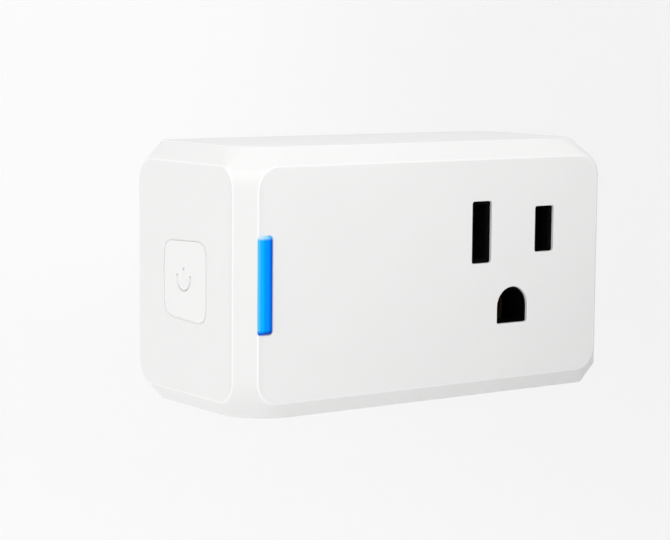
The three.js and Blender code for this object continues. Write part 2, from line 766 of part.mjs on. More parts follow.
function transformerCore() {
  const { width, height, leg, yoke, depth, lift } = CORE;
  const windowWidth = (width - leg - 2 * yoke) / 2;
  const windowX = (leg + windowWidth) / 2;
  const frame = block(about(0, width / 2), about(0, depth / 2), [lift, lift + height]);
  const windows = [-windowX, windowX].map((x) =>
    block(about(x, windowWidth / 2), about(0, depth), [lift + yoke, lift + height - yoke]),
  );
  return cut(frame, ...windows);
}

const SPOOL = {
  low: 3,
  high: 9.4,
  flange: 0.6,
  boreX: 1.45,
  boreY: 2.35,
  wall: 0.6,
  rimX: 3.75,
  rimY: 5,
  railX: 5,
  railY: 3.4,
};

function transformerBobbin() {
  const { low, high, flange, boreX, boreY, wall, rimX, rimY, railX, railY } = SPOOL;
  const tube = block(about(0, boreX + wall), about(0, boreY + wall), [low, high]);
  const rims = [
    [low, low + flange],
    [high - flange, high],
  ].map((limits) => block(about(0, rimX), about(0, rimY), limits));
  const rails = [-1, 1].map((side) =>
    block(about(0, railX), about((side * (railY + rimY)) / 2, (rimY - railY) / 2), [GAP, low + ROOT]),
  );
  const bore = block(about(0, boreX), about(0, boreY), [low - 1, high + 1]);
  return cut(join(tube, ...rims, ...rails), bore);
}

function transformerWinding() {
  const { low, high, flange, boreX, boreY, wall, rimX, rimY } = SPOOL;
  const limits = [low + flange + GAP, high - flange - GAP];
  const inner = wall + GAP;
  return cut(
    plateZ(roundedRect(2 * rimX - 0.2, 2 * rimY - 0.4, 0.8), limits),
    block(about(0, boreX + inner), about(0, boreY + inner), [low, high]),
  );
}

// ---------------------------------------------------------------- relay

// The relay is drawn standing on its pins: x along it, y across it, z up from the board.
const RELAY = { length: 20.5, width: 10.2, height: 15.3, wall: 0.6 };
const RELAY_BASE_TOP = 1.4;
const RELAY_COIL_X = -3.9;
const RELAY_YOKE_X = -8.9;
const RELAY_YOKE_TOP = 12.4;
const RELAY_POLE_TOP = 12;
const RELAY_IRON_HALF = 3.2; // half width of the yoke and the armature
const RELAY_YOKE_THICKNESS = 1;
const RELAY_CORE = { low: 2.6, radius: 1.5, poleRadius: 2.6, poleLow: 11.2 };
const RELAY_SPOOL = {
  low: 2.8,
  lowRimTop: 3.5,
  highRimLow: 10.3,
  high: 10.9,
  rimX: 3.8,
  rimY: 4,
  tubeRadius: 2.3,
};
const RELAY_COIL = { limits: [3.7, 10.1], radius: 3.7 };
const RELAY_CONTACT_X = 5;
const RELAY_CONTACT_RADIUS = 1.1;
const RELAY_CONTACT_GAP = 0.9;
const ARMATURE_LOW = 12.5;
const ARMATURE_THICKNESS = 0.8;

function relayCase() {
  const { length, width, height, wall } = RELAY;
  const outer = plateZ(roundedRect(length, width, 0.6), [GAP, height], 2);
  const inner = block(about(0, length / 2 - wall), about(0, width / 2 - wall), [GAP - 1, height - wall]);
  return cut(outer, inner);
}

function relayBase() {
  const { length, width, wall } = RELAY;
  const inset = wall + 0.15;
  return block(about(0, length / 2 - inset), about(0, width / 2 - inset), [GAP, RELAY_BASE_TOP]);
}

function relayYoke() {
  const low = RELAY_BASE_TOP + GAP;
  const across = about(0, RELAY_IRON_HALF);
  return join(
    block([RELAY_YOKE_X, RELAY_YOKE_X + RELAY_YOKE_THICKNESS], across, [low, RELAY_YOKE_TOP]),
    block([RELAY_YOKE_X, RELAY_COIL_X + 2], across, [low, low + RELAY_YOKE_THICKNESS]),
  );
}

function relayCore() {
  const { low, radius, poleRadius, poleLow } = RELAY_CORE;
  return standing([
    [0, low],
    [radius, low],
    [radius, poleLow],
    [poleRadius, poleLow],
    [poleRadius, RELAY_POLE_TOP],
    [0, RELAY_POLE_TOP],
  ]);
}

function relayBobbin() {
  const { low, lowRimTop, highRimLow, high, rimX, rimY, tubeRadius } = RELAY_SPOOL;
  const tube = rodZ(tubeRadius, [low, high], 0, 0);
  const rims = [
    [low, lowRimTop],
    [highRimLow, high],
  ].map((limits) => block(about(0, rimX), about(0, rimY), limits));
  return cut(join(tube, ...rims), rodZ(RELAY_CORE.radius + RUN, [low - 1, high + 1], 0, 0));
}

function relayCoil() {
  const { limits, radius } = RELAY_COIL;
  const bore = rodZ(RELAY_SPOOL.tubeRadius + RUN, [RELAY_SPOOL.low, RELAY_SPOOL.high], 0, 0);
  return cut(rodZ(radius, limits, 0, 0, 20), bore);
}

function relayArmature() {
  const thick = [ARMATURE_LOW, ARMATURE_LOW + ARMATURE_THICKNESS];
  return block([RELAY_YOKE_X + 0.2, -0.6], about(0, RELAY_IRON_HALF), thick);
}

function relayMovingContact() {
  const leafLow = ARMATURE_LOW + ARMATURE_THICKNESS + GAP;
  return join(
    block([-4.5, RELAY_CONTACT_X + 1.6], about(0, 2), [leafLow, leafLow + 0.25]),
    rodZ(RELAY_CONTACT_RADIUS, [ARMATURE_LOW, leafLow + 0.1], RELAY_CONTACT_X, 0, 16),
  );
}

function relayFixedContact() {
  const top = ARMATURE_LOW - RELAY_CONTACT_GAP;
  const arm = [top - 1.2, top - 0.6];
  return join(
    block([7.4, 8.1], about(0, 1.8), [RELAY_BASE_TOP + GAP, arm[1]]),
    block([3.9, 8], about(0, 1.8), arm),
    rodZ(RELAY_CONTACT_RADIUS, [top - 0.8, top], RELAY_CONTACT_X, 0, 16),
  );
}

function makeRelay() {
  const relay = new THREE.Group();
  addPart(relay, "relay_base", LOOKS.relayBlack, relayBase());
  addPart(relay, "relay_case", LOOKS.relayBlack, relayCase());
  addPart(relay, "relay_yoke", LOOKS.steel, relayYoke());
  const wound = [
    ["relay_core", LOOKS.steel, relayCore()],
    ["relay_bobbin", LOOKS.nylon, relayBobbin()],
    ["relay_coil", LOOKS.copper, relayCoil()],
  ];
  for (const [name, look, piece] of wound) {
    addPart(relay, name, look, piece).position.x = RELAY_COIL_X;
  }
  addPart(relay, "relay_armature", LOOKS.steel, relayArmature());
  addPart(relay, "relay_moving_contact", LOOKS.brass, relayMovingContact());
  addPart(relay, "relay_fixed_contact", LOOKS.brass, relayFixedContact());
  return relay;
}

// ---------------------------------------------------------------- control board

// The control board stands behind the left wall. Its left face carries the switch and the LEDs.
const CONTROL_LEFT = CASE_X - 29.5;
const CONTROL_THICKNESS = 1.2;
const CONTROL_RIGHT = CONTROL_LEFT + CONTROL_THICKNESS;
const CONTROL_HALF_HEIGHT = 11;
const CONTROL_LIMITS = [-26.8, -7.9];
const SWITCH_SIZE = 6;
const SWITCH_TOP = CONTROL_LEFT - 1.7;
const PLUNGER_TOP = CONTROL_LEFT - 2.45;

const controlBoard = () =>
  block([CONTROL_LEFT, CONTROL_RIGHT], CONTROL_LIMITS, about(CASE_Z, CONTROL_HALF_HEIGHT));

function tactSwitch() {
  const limits = [SWITCH_TOP, CONTROL_LEFT - GAP];
  const body = plateX(roundedRect(SWITCH_SIZE, SWITCH_SIZE, 0.5, BUTTON_Y, BUTTON_Z), limits, 1);
  return cut(body, rodX(1.9, [SWITCH_TOP - 1, SWITCH_TOP + 1.1], BUTTON_Y, BUTTON_Z));
}

function tactPlunger() {
  const length = 0.7 + BUTTON_TRAVEL + 0.15;
  return rodX(1.6, [PLUNGER_TOP, PLUNGER_TOP + length], BUTTON_Y, BUTTON_Z);
}

function statusLed(z) {
  const limits = [CONTROL_LEFT - 2.1, CONTROL_LEFT - GAP];
  const body = block(limits, [-26.7, -25.4], about(z, 1.5));
  return join(body, rodY(0.7, [-26.95, -26], CONTROL_LEFT - 1.2, z, 16));
}

const WIFI_TOP = CONTROL_RIGHT + 1;
const WIFI_HALF_HEIGHT = 8.4;
const SHIELD_HALF_HEIGHT = 6.2;

function wifiModule() {
  return block([CONTROL_RIGHT + GAP, WIFI_TOP], [-26.4, -11], about(CASE_Z, WIFI_HALF_HEIGHT));
}

function wifiShield() {
  const low = WIFI_TOP + GAP;
  const high = low + 2;
  const wall = 0.3;
  const along = [-22, -11.6];
  const room = [along[0] + wall, along[1] - wall];
  return cut(
    block([low, high], along, about(CASE_Z, SHIELD_HALF_HEIGHT)),
    block([low - 1, high - wall], room, about(CASE_Z, SHIELD_HALF_HEIGHT - wall)),
  );
}

// The header strip that ties the control board to the power board, notched between its pins.
function boardHeader() {
  const pitch = 2.54;
  const pins = 5;
  const half = (pins * pitch) / 2;
  const strip = block(
    [CONTROL_RIGHT + GAP, CONTROL_RIGHT + 2.6],
    [-10.2, BOARD_FRONT - GAP],
    about(CASE_Z, half),
  );
  const notches = Array.from({ length: pins + 1 }, (_, i) => CASE_Z - half + i * pitch).map((z) =>
    block([CONTROL_RIGHT + 2.1, CONTROL_RIGHT + 3], [-11, BOARD_FRONT], about(z, 0.3)),
  );
  return cut(strip, ...notches);
}

// ---------------------------------------------------------------- assembly

function makeCase() {
  const group = new THREE.Group();
  addPart(group, "front_cover", LOOKS.caseWhite, frontCover());
  addPart(group, "rear_cover", LOOKS.caseWhite, rearCover());
  addPart(group, "side_button", LOOKS.caseWhite, sideButton());
  addPart(group, "light_bar", LOOKS.lightBlue, lightBar());
  COVER_SCREWS.map(coverScrewPlace).forEach(([x, z], i) => {
    const part = addPart(group, "cover_screw_" + (i + 1), LOOKS.steel, screw(COVER_SCREW_LENGTH));
    part.position.set(x, 0.05 - SCREW_SEAT, z);
  });
  return group;
}

function makeOutlet() {
  const group = new THREE.Group();
  addPart(group, "outlet_carrier", LOOKS.carrierBlack, outletCarrier());
  addPart(group, "neutral_contact", LOOKS.brass, bladeContact(7.4)).position.x = -BLADE_X;
  addPart(group, "line_contact", LOOKS.brass, bladeContact(6.6)).position.x = BLADE_X;
  addPart(group, "ground_contact", LOOKS.brass, groundContact()).position.z = GROUND_Z;
  addPart(group, "neutral_blade", LOOKS.brass, flatBlade()).position.x = -BLADE_X;
  addPart(group, "line_blade", LOOKS.brass, flatBlade()).position.x = BLADE_X;
  addPart(group, "ground_pin", LOOKS.brass, groundPin()).position.z = GROUND_Z;
  return group;
}

function makePower() {
  const group = new THREE.Group();
  addPart(group, "power_board", LOOKS.boardGreen, powerBoard());
  BOARD_SCREWS.forEach(([x, z], i) => {
    const part = addPart(group, "board_screw_" + (i + 1), LOOKS.steel, screw(BOARD_SCREW_LENGTH));
    part.position.set(x, BOARD_BACK + 0.05, z);
  });
  const standingParts = [
    ["x_capacitor", LOOKS.filmYellow, filmCapacitor(), -19.5, 7.6],
    ["varistor", LOOKS.varistorBlue, varistor(), -17.8, 1.2],
    ["bulk_capacitor_1", LOOKS.sleeveBlack, canCapacitor(4, 13), -34.5, 5.4],
    ["bulk_capacitor_2", LOOKS.sleeveBlack, canCapacitor(4, 13), -34.5, -4.6],
    ["fuse_resistor", LOOKS.resistorGreen, fuseResistor(), -27.8, 2],
    ["filter_choke", LOOKS.copper, filterChoke(), -27.4, -4.6],
  ];
  for (const [name, look, piece, x, z] of standingParts) {
    const spot = boardMounted(x, z);
    addPart(spot, name, look, piece);
    group.add(spot);
  }
  const transformer = boardMounted(-31.2, -16.6);
  addPart(transformer, "transformer_core", LOOKS.ferrite, transformerCore());
  addPart(transformer, "transformer_bobbin", LOOKS.relayBlack, transformerBobbin());
  addPart(transformer, "transformer_winding", LOOKS.tapeYellow, transformerWinding());
  group.add(transformer);
  const relaySpot = boardMounted(-17.9, -12.6);
  const relay = makeRelay();
  relay.rotation.z = Math.PI / 2;
  relaySpot.add(relay);
  group.add(relaySpot);
  return group;
}

// The two chips soldered to the wall side of the power board.
function makeChips() {
  const group = new THREE.Group();
  group.position.y = BOARD_BACK;
  group.rotation.x = -Math.PI / 2;
  addPart(group, "bridge_rectifier", LOOKS.chipBlack, moulded(4.8, 3.9, 2.4, 2)).position.set(-27, 2, 0);
  addPart(group, "power_chip", LOOKS.chipBlack, moulded(5, 4, 1.6, 4)).position.set(-33, 13, 0);
  return group;
}

function makeControl() {
  const group = new THREE.Group();
  addPart(group, "control_board", LOOKS.boardBlue, controlBoard());
  addPart(group, "board_header", LOOKS.relayBlack, boardHeader());
  addPart(group, "wifi_module", LOOKS.boardBlue, wifiModule());
  addPart(group, "wifi_shield", LOOKS.tin, wifiShield());
  addPart(group, "tact_switch", LOOKS.relayBlack, tactSwitch());
  addPart(group, "tact_plunger", LOOKS.nylon, tactPlunger());
  addPart(group, "status_led_1", LOOKS.clearLens, statusLed(CASE_Z + 3.9));
  addPart(group, "status_led_2", LOOKS.clearLens, statusLed(CASE_Z - 3.3));
  return group;
}

const smartPlug = new THREE.Group();
smartPlug.add(makeCase(), makeOutlet(), makePower(), makeChips(), makeControl());

export default smartPlug;
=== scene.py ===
"""Looks of a smart plug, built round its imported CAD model.

Shapes are worked out in millimetres in the CAD's frame, +X right, +Y into the wall and +Z up,
and a piece's mesh is scaled to metres when the piece is made.
"""
import json
import math

import bmesh
import bpy
from mathutils import Matrix, Vector


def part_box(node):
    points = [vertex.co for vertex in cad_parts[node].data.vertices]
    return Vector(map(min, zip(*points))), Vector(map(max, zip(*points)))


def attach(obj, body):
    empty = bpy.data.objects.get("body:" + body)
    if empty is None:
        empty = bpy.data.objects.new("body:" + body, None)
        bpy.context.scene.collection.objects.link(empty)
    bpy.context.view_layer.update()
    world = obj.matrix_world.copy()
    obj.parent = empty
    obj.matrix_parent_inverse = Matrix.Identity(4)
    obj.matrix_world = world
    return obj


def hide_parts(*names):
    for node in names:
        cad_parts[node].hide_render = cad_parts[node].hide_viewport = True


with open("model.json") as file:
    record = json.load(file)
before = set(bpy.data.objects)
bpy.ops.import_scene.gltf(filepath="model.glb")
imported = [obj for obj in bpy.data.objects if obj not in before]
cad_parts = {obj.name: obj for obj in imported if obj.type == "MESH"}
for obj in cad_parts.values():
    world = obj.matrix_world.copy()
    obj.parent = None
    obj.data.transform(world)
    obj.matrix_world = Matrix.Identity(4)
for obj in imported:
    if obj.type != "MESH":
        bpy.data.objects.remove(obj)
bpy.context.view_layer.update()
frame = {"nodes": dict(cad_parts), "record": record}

MM = 0.001


def node_box(node):
    """Lowest and highest corner of a CAD node, in millimetres."""
    low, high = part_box(node)
    return low / MM, high / MM


# ---------------------------------------------------------------- sizes

FRONT_LOW, FRONT_HIGH = node_box("front_cover")
CASE_LOW = FRONT_LOW
CASE_HIGH = Vector((FRONT_HIGH.x, 0, FRONT_HIGH.z))
CASE_SIZE = CASE_HIGH - CASE_LOW
CASE_CENTRE = (CASE_LOW + CASE_HIGH) / 2
SPLIT_Y = FRONT_HIGH.y  # where the two covers meet
SPLIT_GAP = 0.04

BEVEL = 2.7
WALL = 1.8
FACE_CORNER = 3.4
SOFT_CORNER = 7.4  # left front corners of the top and bottom flats
UPPER_CORNER = 6.5  # right front corner of the top flat
SHARP_CORNER = 0.6  # lower right front corners of the side and bottom flats
EDGE_RADIUS = 0.34  # of the case's bevelled edges
ROOM_CORNER = 1.5
ROOM_EDGE_RADIUS = 0.3
REAR_WALL = 2
LIP_GAP = 0.25
LIP_WALL = 1.2
LIP_DEPTH = 2.2
INNER_FRONT = CASE_LOW.y + WALL
LIP_FRONT = SPLIT_Y - LIP_DEPTH
HALF_ROOM = Vector((CASE_SIZE.x / 2 - WALL, 0, CASE_SIZE.z / 2 - WALL))
OVERLAP = 0.5  # how far two solids that are joined run into each other

POST_X = 29.6  # cover screws, from the case's centre
POST_Z = 14
POST_RADIUS = 2.6
POST_FOOT = 0.4  # radius between a post and the front wall
POST_TAPER = 0.1
POST_TIP = 0.2  # radius of a post's end
POST_GAP = 0.3  # from a post's end to the rear cover's pad
RIB = 1
RIB_START = POST_RADIUS - 0.6
BOARD_SCREWS = [(CASE_CENTRE.x + 29.4, CASE_CENTRE.z), (CASE_CENTRE.x - 13.4, CASE_CENTRE.z + 14.6)]
BOARD_POST_RADIUS = 2.4
PAD_RADIUS = 3.2
SCREW_HOLE_RADIUS = 1.3
COVER_HOLE_END = -17
BOARD_HOLE_END = -14
SCREW_RECESS_RADIUS = 2.5
SCREW_SEAT = 1.6
SMALL_RIM = 0.15  # rounding of the wall face's openings

BLADE_X = 6.35
GROUND_Z = -11.9
PRONG_FRONT = -4.6  # the prongs' shoulders lie between these two depths
PRONG_SHOULDER = -6
BLADE_HALF = 3.175  # half a blade's width
BLADE_HOLE_Y = 11.4
BLADE_HOLE_RADIUS = 1.55
BLADE_GAP = 0.08
SEAT_BACK = -1  # of the rear cover's prong seats
BLADE_SEAT = (2.6, 5.175)  # half width and half height
GROUND_SEAT_RADIUS = 4.4
GROUND_HOLE_RADIUS = 2.6
WINDOW_WIDTH = 3.9
NEUTRAL_WINDOW = 9.65
LINE_WINDOW = 7.25
WINDOW_CORNER = 0.4
GROUND_WINDOW_RADIUS = 3.1
GROUND_WINDOW_BELOW = 2.65
ARCH_FOOT = 0.3  # radius of an arched opening's two lower corners
CARRIER_CORNER = 0.6
BOSS_GAP = 0.06  # between the carrier's bosses and their windows
SLOT_CORNER = 0.3
SLOT_LEAD_IN = 0.25
SLOT_WIDTH = 2.4
NEUTRAL_SLOT = 8.4
LINE_SLOT = 6.9
GROUND_SLOT_RADIUS = 2.85
GROUND_SLOT_BELOW = 2.5
CHAMBER_FRONT = INNER_FRONT + 2.4
CHAMBERS = [  # x, z, half width and half height
    (-BLADE_X, 0, 2.9, 5),
    (BLADE_X, 0, 2.9, 4.4),
    (0, GROUND_Z, 4.2, 4.2),
]
RIM = 0.09  # rounding of the openings' rims

LIGHT_X = (CASE_CENTRE.x - 32.48, CASE_CENTRE.x - 30.05)
LIGHT_Z = (CASE_CENTRE.z - 6.85, CASE_CENTRE.z + 7.3)
LIGHT_CORNER = 0.4
LIGHT_SLOPE = 0.5
LIGHT_SEAM = 0.04
LIGHT_RIM = 0.28

BUTTON_WIDTH = 11.6
BUTTON_HEIGHT = 11.7  # at the middle of its width
BUTTON_FLARE = 0.0075  # share of its height that it gains with each millimetre forwards
BUTTON_CORNER = 1.8
BUTTON_Y = -16
BUTTON_Z = CASE_CENTRE.z - 0.3
BUTTON_SEAM = 0.03
BUTTON_RIM = 0.05
BUTTON_FLANGE = (1.1, 0.8, 1.5)  # reach past the cap, thickness and corner radius
BUTTON_STEM_RADIUS = 1.5
BUTTON_OVERLAP = 0.4  # of the cap and the stem with the flange
GROOVE_WIDTH = 0.22  # of the shallow step round the button
GROOVE_DEPTH = 0.09
SYMBOL_Y = BUTTON_Y + 0.35
SYMBOL_Z = BUTTON_Z + 0.25
SYMBOL_RADIUS = 1.87
SYMBOL_GROOVE = 0.2  # radius of the symbol's round-bottomed groove
SYMBOL_OPENING = math.radians(80)  # from the top to either end of the ring
SYMBOL_BAR = (0.35, 1.4)  # the bar's ends above the ring's centre
SYMBOL_PIT = 0.27  # radius of the pits at the ends of the symbol's grooves
SYMBOL_LEAN = 0.09  # how much deeper the ring lies with each millimetre downwards
RING_DEPTH = -0.02  # the grooves' and pits' centre lines, inwards from the button's face
BAR_DEPTH = -0.12
PIT_DEPTH = 0.08

REACH = 5  # how far a cutting tool runs past what it cuts

# ---------------------------------------------------------------- outlines

QUARTER = math.pi / 2


def arc(x, y, radius, start, end, steps):
    """Points of an arc, both ends included."""
    angles = (start + (end - start) * i / steps for i in range(steps + 1))
    return [(x + radius * math.cos(a), y + radius * math.sin(a)) for a in angles]


def rounded_rect(width, height, radius, x=0, y=0, steps=6):
    right, left = x + width / 2 - radius, x - width / 2 + radius
    top, low = y + height / 2 - radius, y - height / 2 + radius
    corners = [(right, low), (right, top), (left, top), (left, low)]
    return [
        point
        for i, (cx, cy) in enumerate(corners)
        for point in arc(cx, cy, radius, (i - 1) * QUARTER, i * QUARTER, steps)
    ]


def arch(radius, below, x=0, y=0, foot=ARCH_FOOT, steps=24):
    """A round-topped opening with a flat bottom, drawn about the round part's centre."""
    right, left, low = x + radius - foot, x - radius + foot, y - below + foot
    return (
        arc(right, low, foot, -QUARTER, 0, 4)
        + arc(x, y, radius, 0, math.pi, steps)
        + arc(left, low, foot, math.pi, 3 * QUARTER, 4)
    )


def circle(radius, x=0, y=0, steps=32):
    return arc(x, y, radius, 0, 2 * math.pi * (steps - 1) / steps, steps - 1)


def rolled(steps):
    """Distances of a rounded edge's points from its two faces, as shares of its radius."""
    turns = (QUARTER * i / steps for i in range(steps + 1))
    return [(1 - math.sin(turn), 1 - math.cos(turn)) for turn in turns]


def on_x(outline, x):
    return [Vector((x, u, v)) for u, v in outline]


def on_y(outline, y):
    return [Vector((u, y, v)) for u, v in outline]


def on_z(outline, z):
    return [Vector((u, v, z)) for u, v in outline]


# ---------------------------------------------------------------- solids


def add_object(name, data):
    """A new object in the scene."""
    item = bpy.data.objects.new(name, data)
    bpy.context.scene.collection.objects.link(item)
    return item


# Solids are meshes with two finishes: 0 for the body and 1 for its rounded edges.
BODY_FINISH = bpy.data.materials.new("body_finish")
EDGE_FINISH = bpy.data.materials.new("edge_finish")


def solid(shape):
    """The mesh of a finished bmesh, with its faces pointing out."""
    bmesh.ops.recalc_face_normals(shape, faces=shape.faces)
    mesh = bpy.data.meshes.new("solid")
    shape.to_mesh(mesh)
    shape.free()
    mesh.materials.append(BODY_FINISH)
    mesh.materials.append(EDGE_FINISH)
    return mesh


def skin(shape, rings, edge_bands=()):
    """Faces between rings of equally many vertices. The bands listed take the edge finish."""
    for band, (ring, following) in enumerate(zip(rings, rings[1:])):
        for i in range(len(ring)):
            j = (i + 1) % len(ring)
            face = shape.faces.new((ring[i], ring[j], following[j], following[i]))
            face.material_index = int(band in edge_bands)


def stack(loops, edge_bands=()):
    """A closed solid through loops of equally many points."""
    shape = bmesh.new()
    rings = [[shape.verts.new(point) for point in loop] for loop in loops]
    shape.faces.new(reversed(rings[0]))
    shape.faces.new(rings[-1])
    skin(shape, rings, edge_bands)
    return solid(shape)


def block(low, high):
    outline = [(low[0], low[1]), (high[0], low[1]), (high[0], high[1]), (low[0], high[1])]
    return stack([on_z(outline, low[2]), on_z(outline, high[2])])


def rod(radius, y0, y1, x, z, steps=32):
    """A round bar along Y."""
    return stack([on_y(circle(radius, x, z, steps), y) for y in (y0, y1)])


def turned(profile, x, z, steps=48):
    """A solid turned about a line along Y, through (radius, y) points."""
    return stack([on_y(circle(max(radius, 0.02), x, z, steps), y) for radius, y in profile])


def tube(points, radius, steps=16, cap_steps=4):
    """A round bar in a plane across X, along (y, z) points, with round ends."""
    line = [Vector((0, *point)) for point in points]
    loops = []

    def ring(centre, along, size):
        across = Vector((1, 0, 0)).cross(along)
        loops.append(
            [
                centre + (Vector((1, 0, 0)) * math.cos(a) + across * math.sin(a)) * size
                for a in (2 * math.pi * i / steps for i in range(steps))
            ]
        )

    for i, point in enumerate(line):
        along = (line[min(i + 1, len(line) - 1)] - line[max(i - 1, 0)]).normalized()
        if i == 0:
            for k in range(cap_steps, 0, -1):
                turn = QUARTER * k / (cap_steps + 0.3)
                ring(point - along * radius * math.sin(turn), along, radius * math.cos(turn))
        ring(point, along, radius)
        if i == len(line) - 1:
            for k in range(1, cap_steps + 1):
                turn = QUARTER * k / (cap_steps + 0.3)
                ring(point + along * radius * math.sin(turn), along, radius * math.cos(turn))
    return stack(loops)


def combine(base, *tools, operation="DIFFERENCE"):
    """The base with each tool cut from it, joined to it or intersected with it."""
    target = add_object("target", base)
    for mesh in tools:
        tool = add_object("tool", mesh)
        modifier = target.modifiers.new("combine", "BOOLEAN")
        modifier.operation = operation
        modifier.solver = "EXACT"
        modifier.object = tool
        depsgraph = bpy.context.evaluated_depsgraph_get()
        evaluated = target.evaluated_get(depsgraph)
        result = bpy.data.meshes.new_from_object(evaluated, depsgraph=depsgraph)
        target.modifiers.clear()
        target.data = result
        bpy.data.objects.remove(tool)
    mesh = target.data
    bpy.data.objects.remove(target)
    return mesh


def contact_normal(half, inset, radii, first, second, third, tilt):
    """The outward normal, tilted towards the third axis, of the plane that touches two flats."""

    def height(flat, normal):
        others = [axis for axis in range(3) if axis != flat]
        level = normal[flat] * half[flat] + sum(normal[k] * inset[flat][k] for k in others)
        return level + radii[flat] * math.hypot(*(normal[k] for k in others))

    low, high = 0, QUARTER
    normal = [0, 0, 0]
    for _ in range(50):
        turn = (low + high) / 2
        normal[first] = math.cos(turn) * math.cos(tilt)
        normal[second] = math.sin(turn) * math.cos(tilt)
        normal[third] = math.sin(tilt)
        if height(first, normal) > height(second, normal):
            low = turn
        else:
            high = turn
    return normal, height(third, normal) - height(first, normal)


def bevelled_case(low, high, bevel, corners, radius, steps=5, round_steps=3):
    """A box with all its edges bevelled at 45 degrees, and a small radius along every bevel's edges.

    corners(signs) gives the corner radii, at one corner of the box, of the flats across X, Y and Z.
    The solid is the hull of the flats, drawn in by the small radius and then rolled round by a ball
    of that radius.
    """
    half = [(high[k] - low[k]) / 2 - radius for k in range(3)]
    centre = (Vector(low) + Vector(high)) / 2
    setback = radius * math.tan(math.pi / 8)
    margin = bevel + setback - radius
    rounding = {}

    def add(flat, normal, signs, radii, inset):
        sideways = [normal[k] if k != flat else 0 for k in range(3)]
        length = math.hypot(*sideways)
        point = Vector(
            half[k] if k == flat else inset[flat][k] + radii[flat] * sideways[k] / length
            for k in range(3)
        )
        outward = Vector(float(k == flat) for k in range(3))
        full = outward.angle(Vector(normal))
        for i in range(round_steps + 1):
            turn = full * i / round_steps
            direction = outward * math.sin(full - turn) + Vector(normal) * math.sin(turn)
            placed = point + direction / math.sin(full) * radius
            key = tuple(round(centre[k] + signs[k] * placed[k], 5) for k in range(3))
            rounding[key] = (flat, i)

    for signs in ((x, y, z) for x in (-1, 1) for y in (-1, 1) for z in (-1, 1)):
        radii = [corner - setback for corner in corners(signs)]
        inset = [[half[k] - margin - radii[flat] for k in range(3)] for flat in range(3)]
        for first, second, third in ((0, 1, 2), (1, 2, 0), (2, 0, 1)):
            flats = (half, inset, radii, first, second, third)
            tilt_low, tilt_high = 0, QUARTER
            for _ in range(50):
                tilt = (tilt_low + tilt_high) / 2
                if contact_normal(*flats, tilt)[1] < 0:
                    tilt_low = tilt
                else:
                    tilt_high = tilt
            for i in range(steps + 1):
                normal, _ = contact_normal(*flats, tilt_high * i / steps)
                add(first, normal, signs, radii, inset)
                add(second, normal, signs, radii, inset)

    shape = bmesh.new()
    for point in rounding:
        shape.verts.new(point)
    hull = bmesh.ops.convex_hull(shape, input=shape.verts)
    unused = set(hull["geom_interior"]) | set(hull["geom_unused"])
    loose = [v for v in shape.verts if v in unused]
    bmesh.ops.delete(shape, geom=loose, context="VERTS")
    for face in shape.faces:
        marks = {rounding[tuple(round(c, 5) for c in v.co)] for v in face.verts}
        face.material_index = int(len({mark[1] for mark in marks}) > 1)
    flat = math.radians(0.1)
    bmesh.ops.dissolve_limit(
        shape, angle_limit=flat, verts=shape.verts, edges=shape.edges, delimit={"MATERIAL"}
    )
    return solid(shape)


def opening(outline, place, face, deep, rim=RIM, steps=4):
    """A cutting tool for an opening whose rim is rounded.

    outline(grow) draws it, place puts it on an axis, face is where the surface lies, and deep is
    how far the opening goes.
    """
    outward = math.copysign(1, face - deep)
    loops = [place(outline(0), deep)]
    for inward, grow in rolled(steps):
        loops.append(place(outline(rim * grow), face - outward * rim * inward))
    loops.append(place(outline(rim), face + outward))
    return stack(loops, edge_bands=range(1, steps + 1))


# ---------------------------------------------------------------- materials


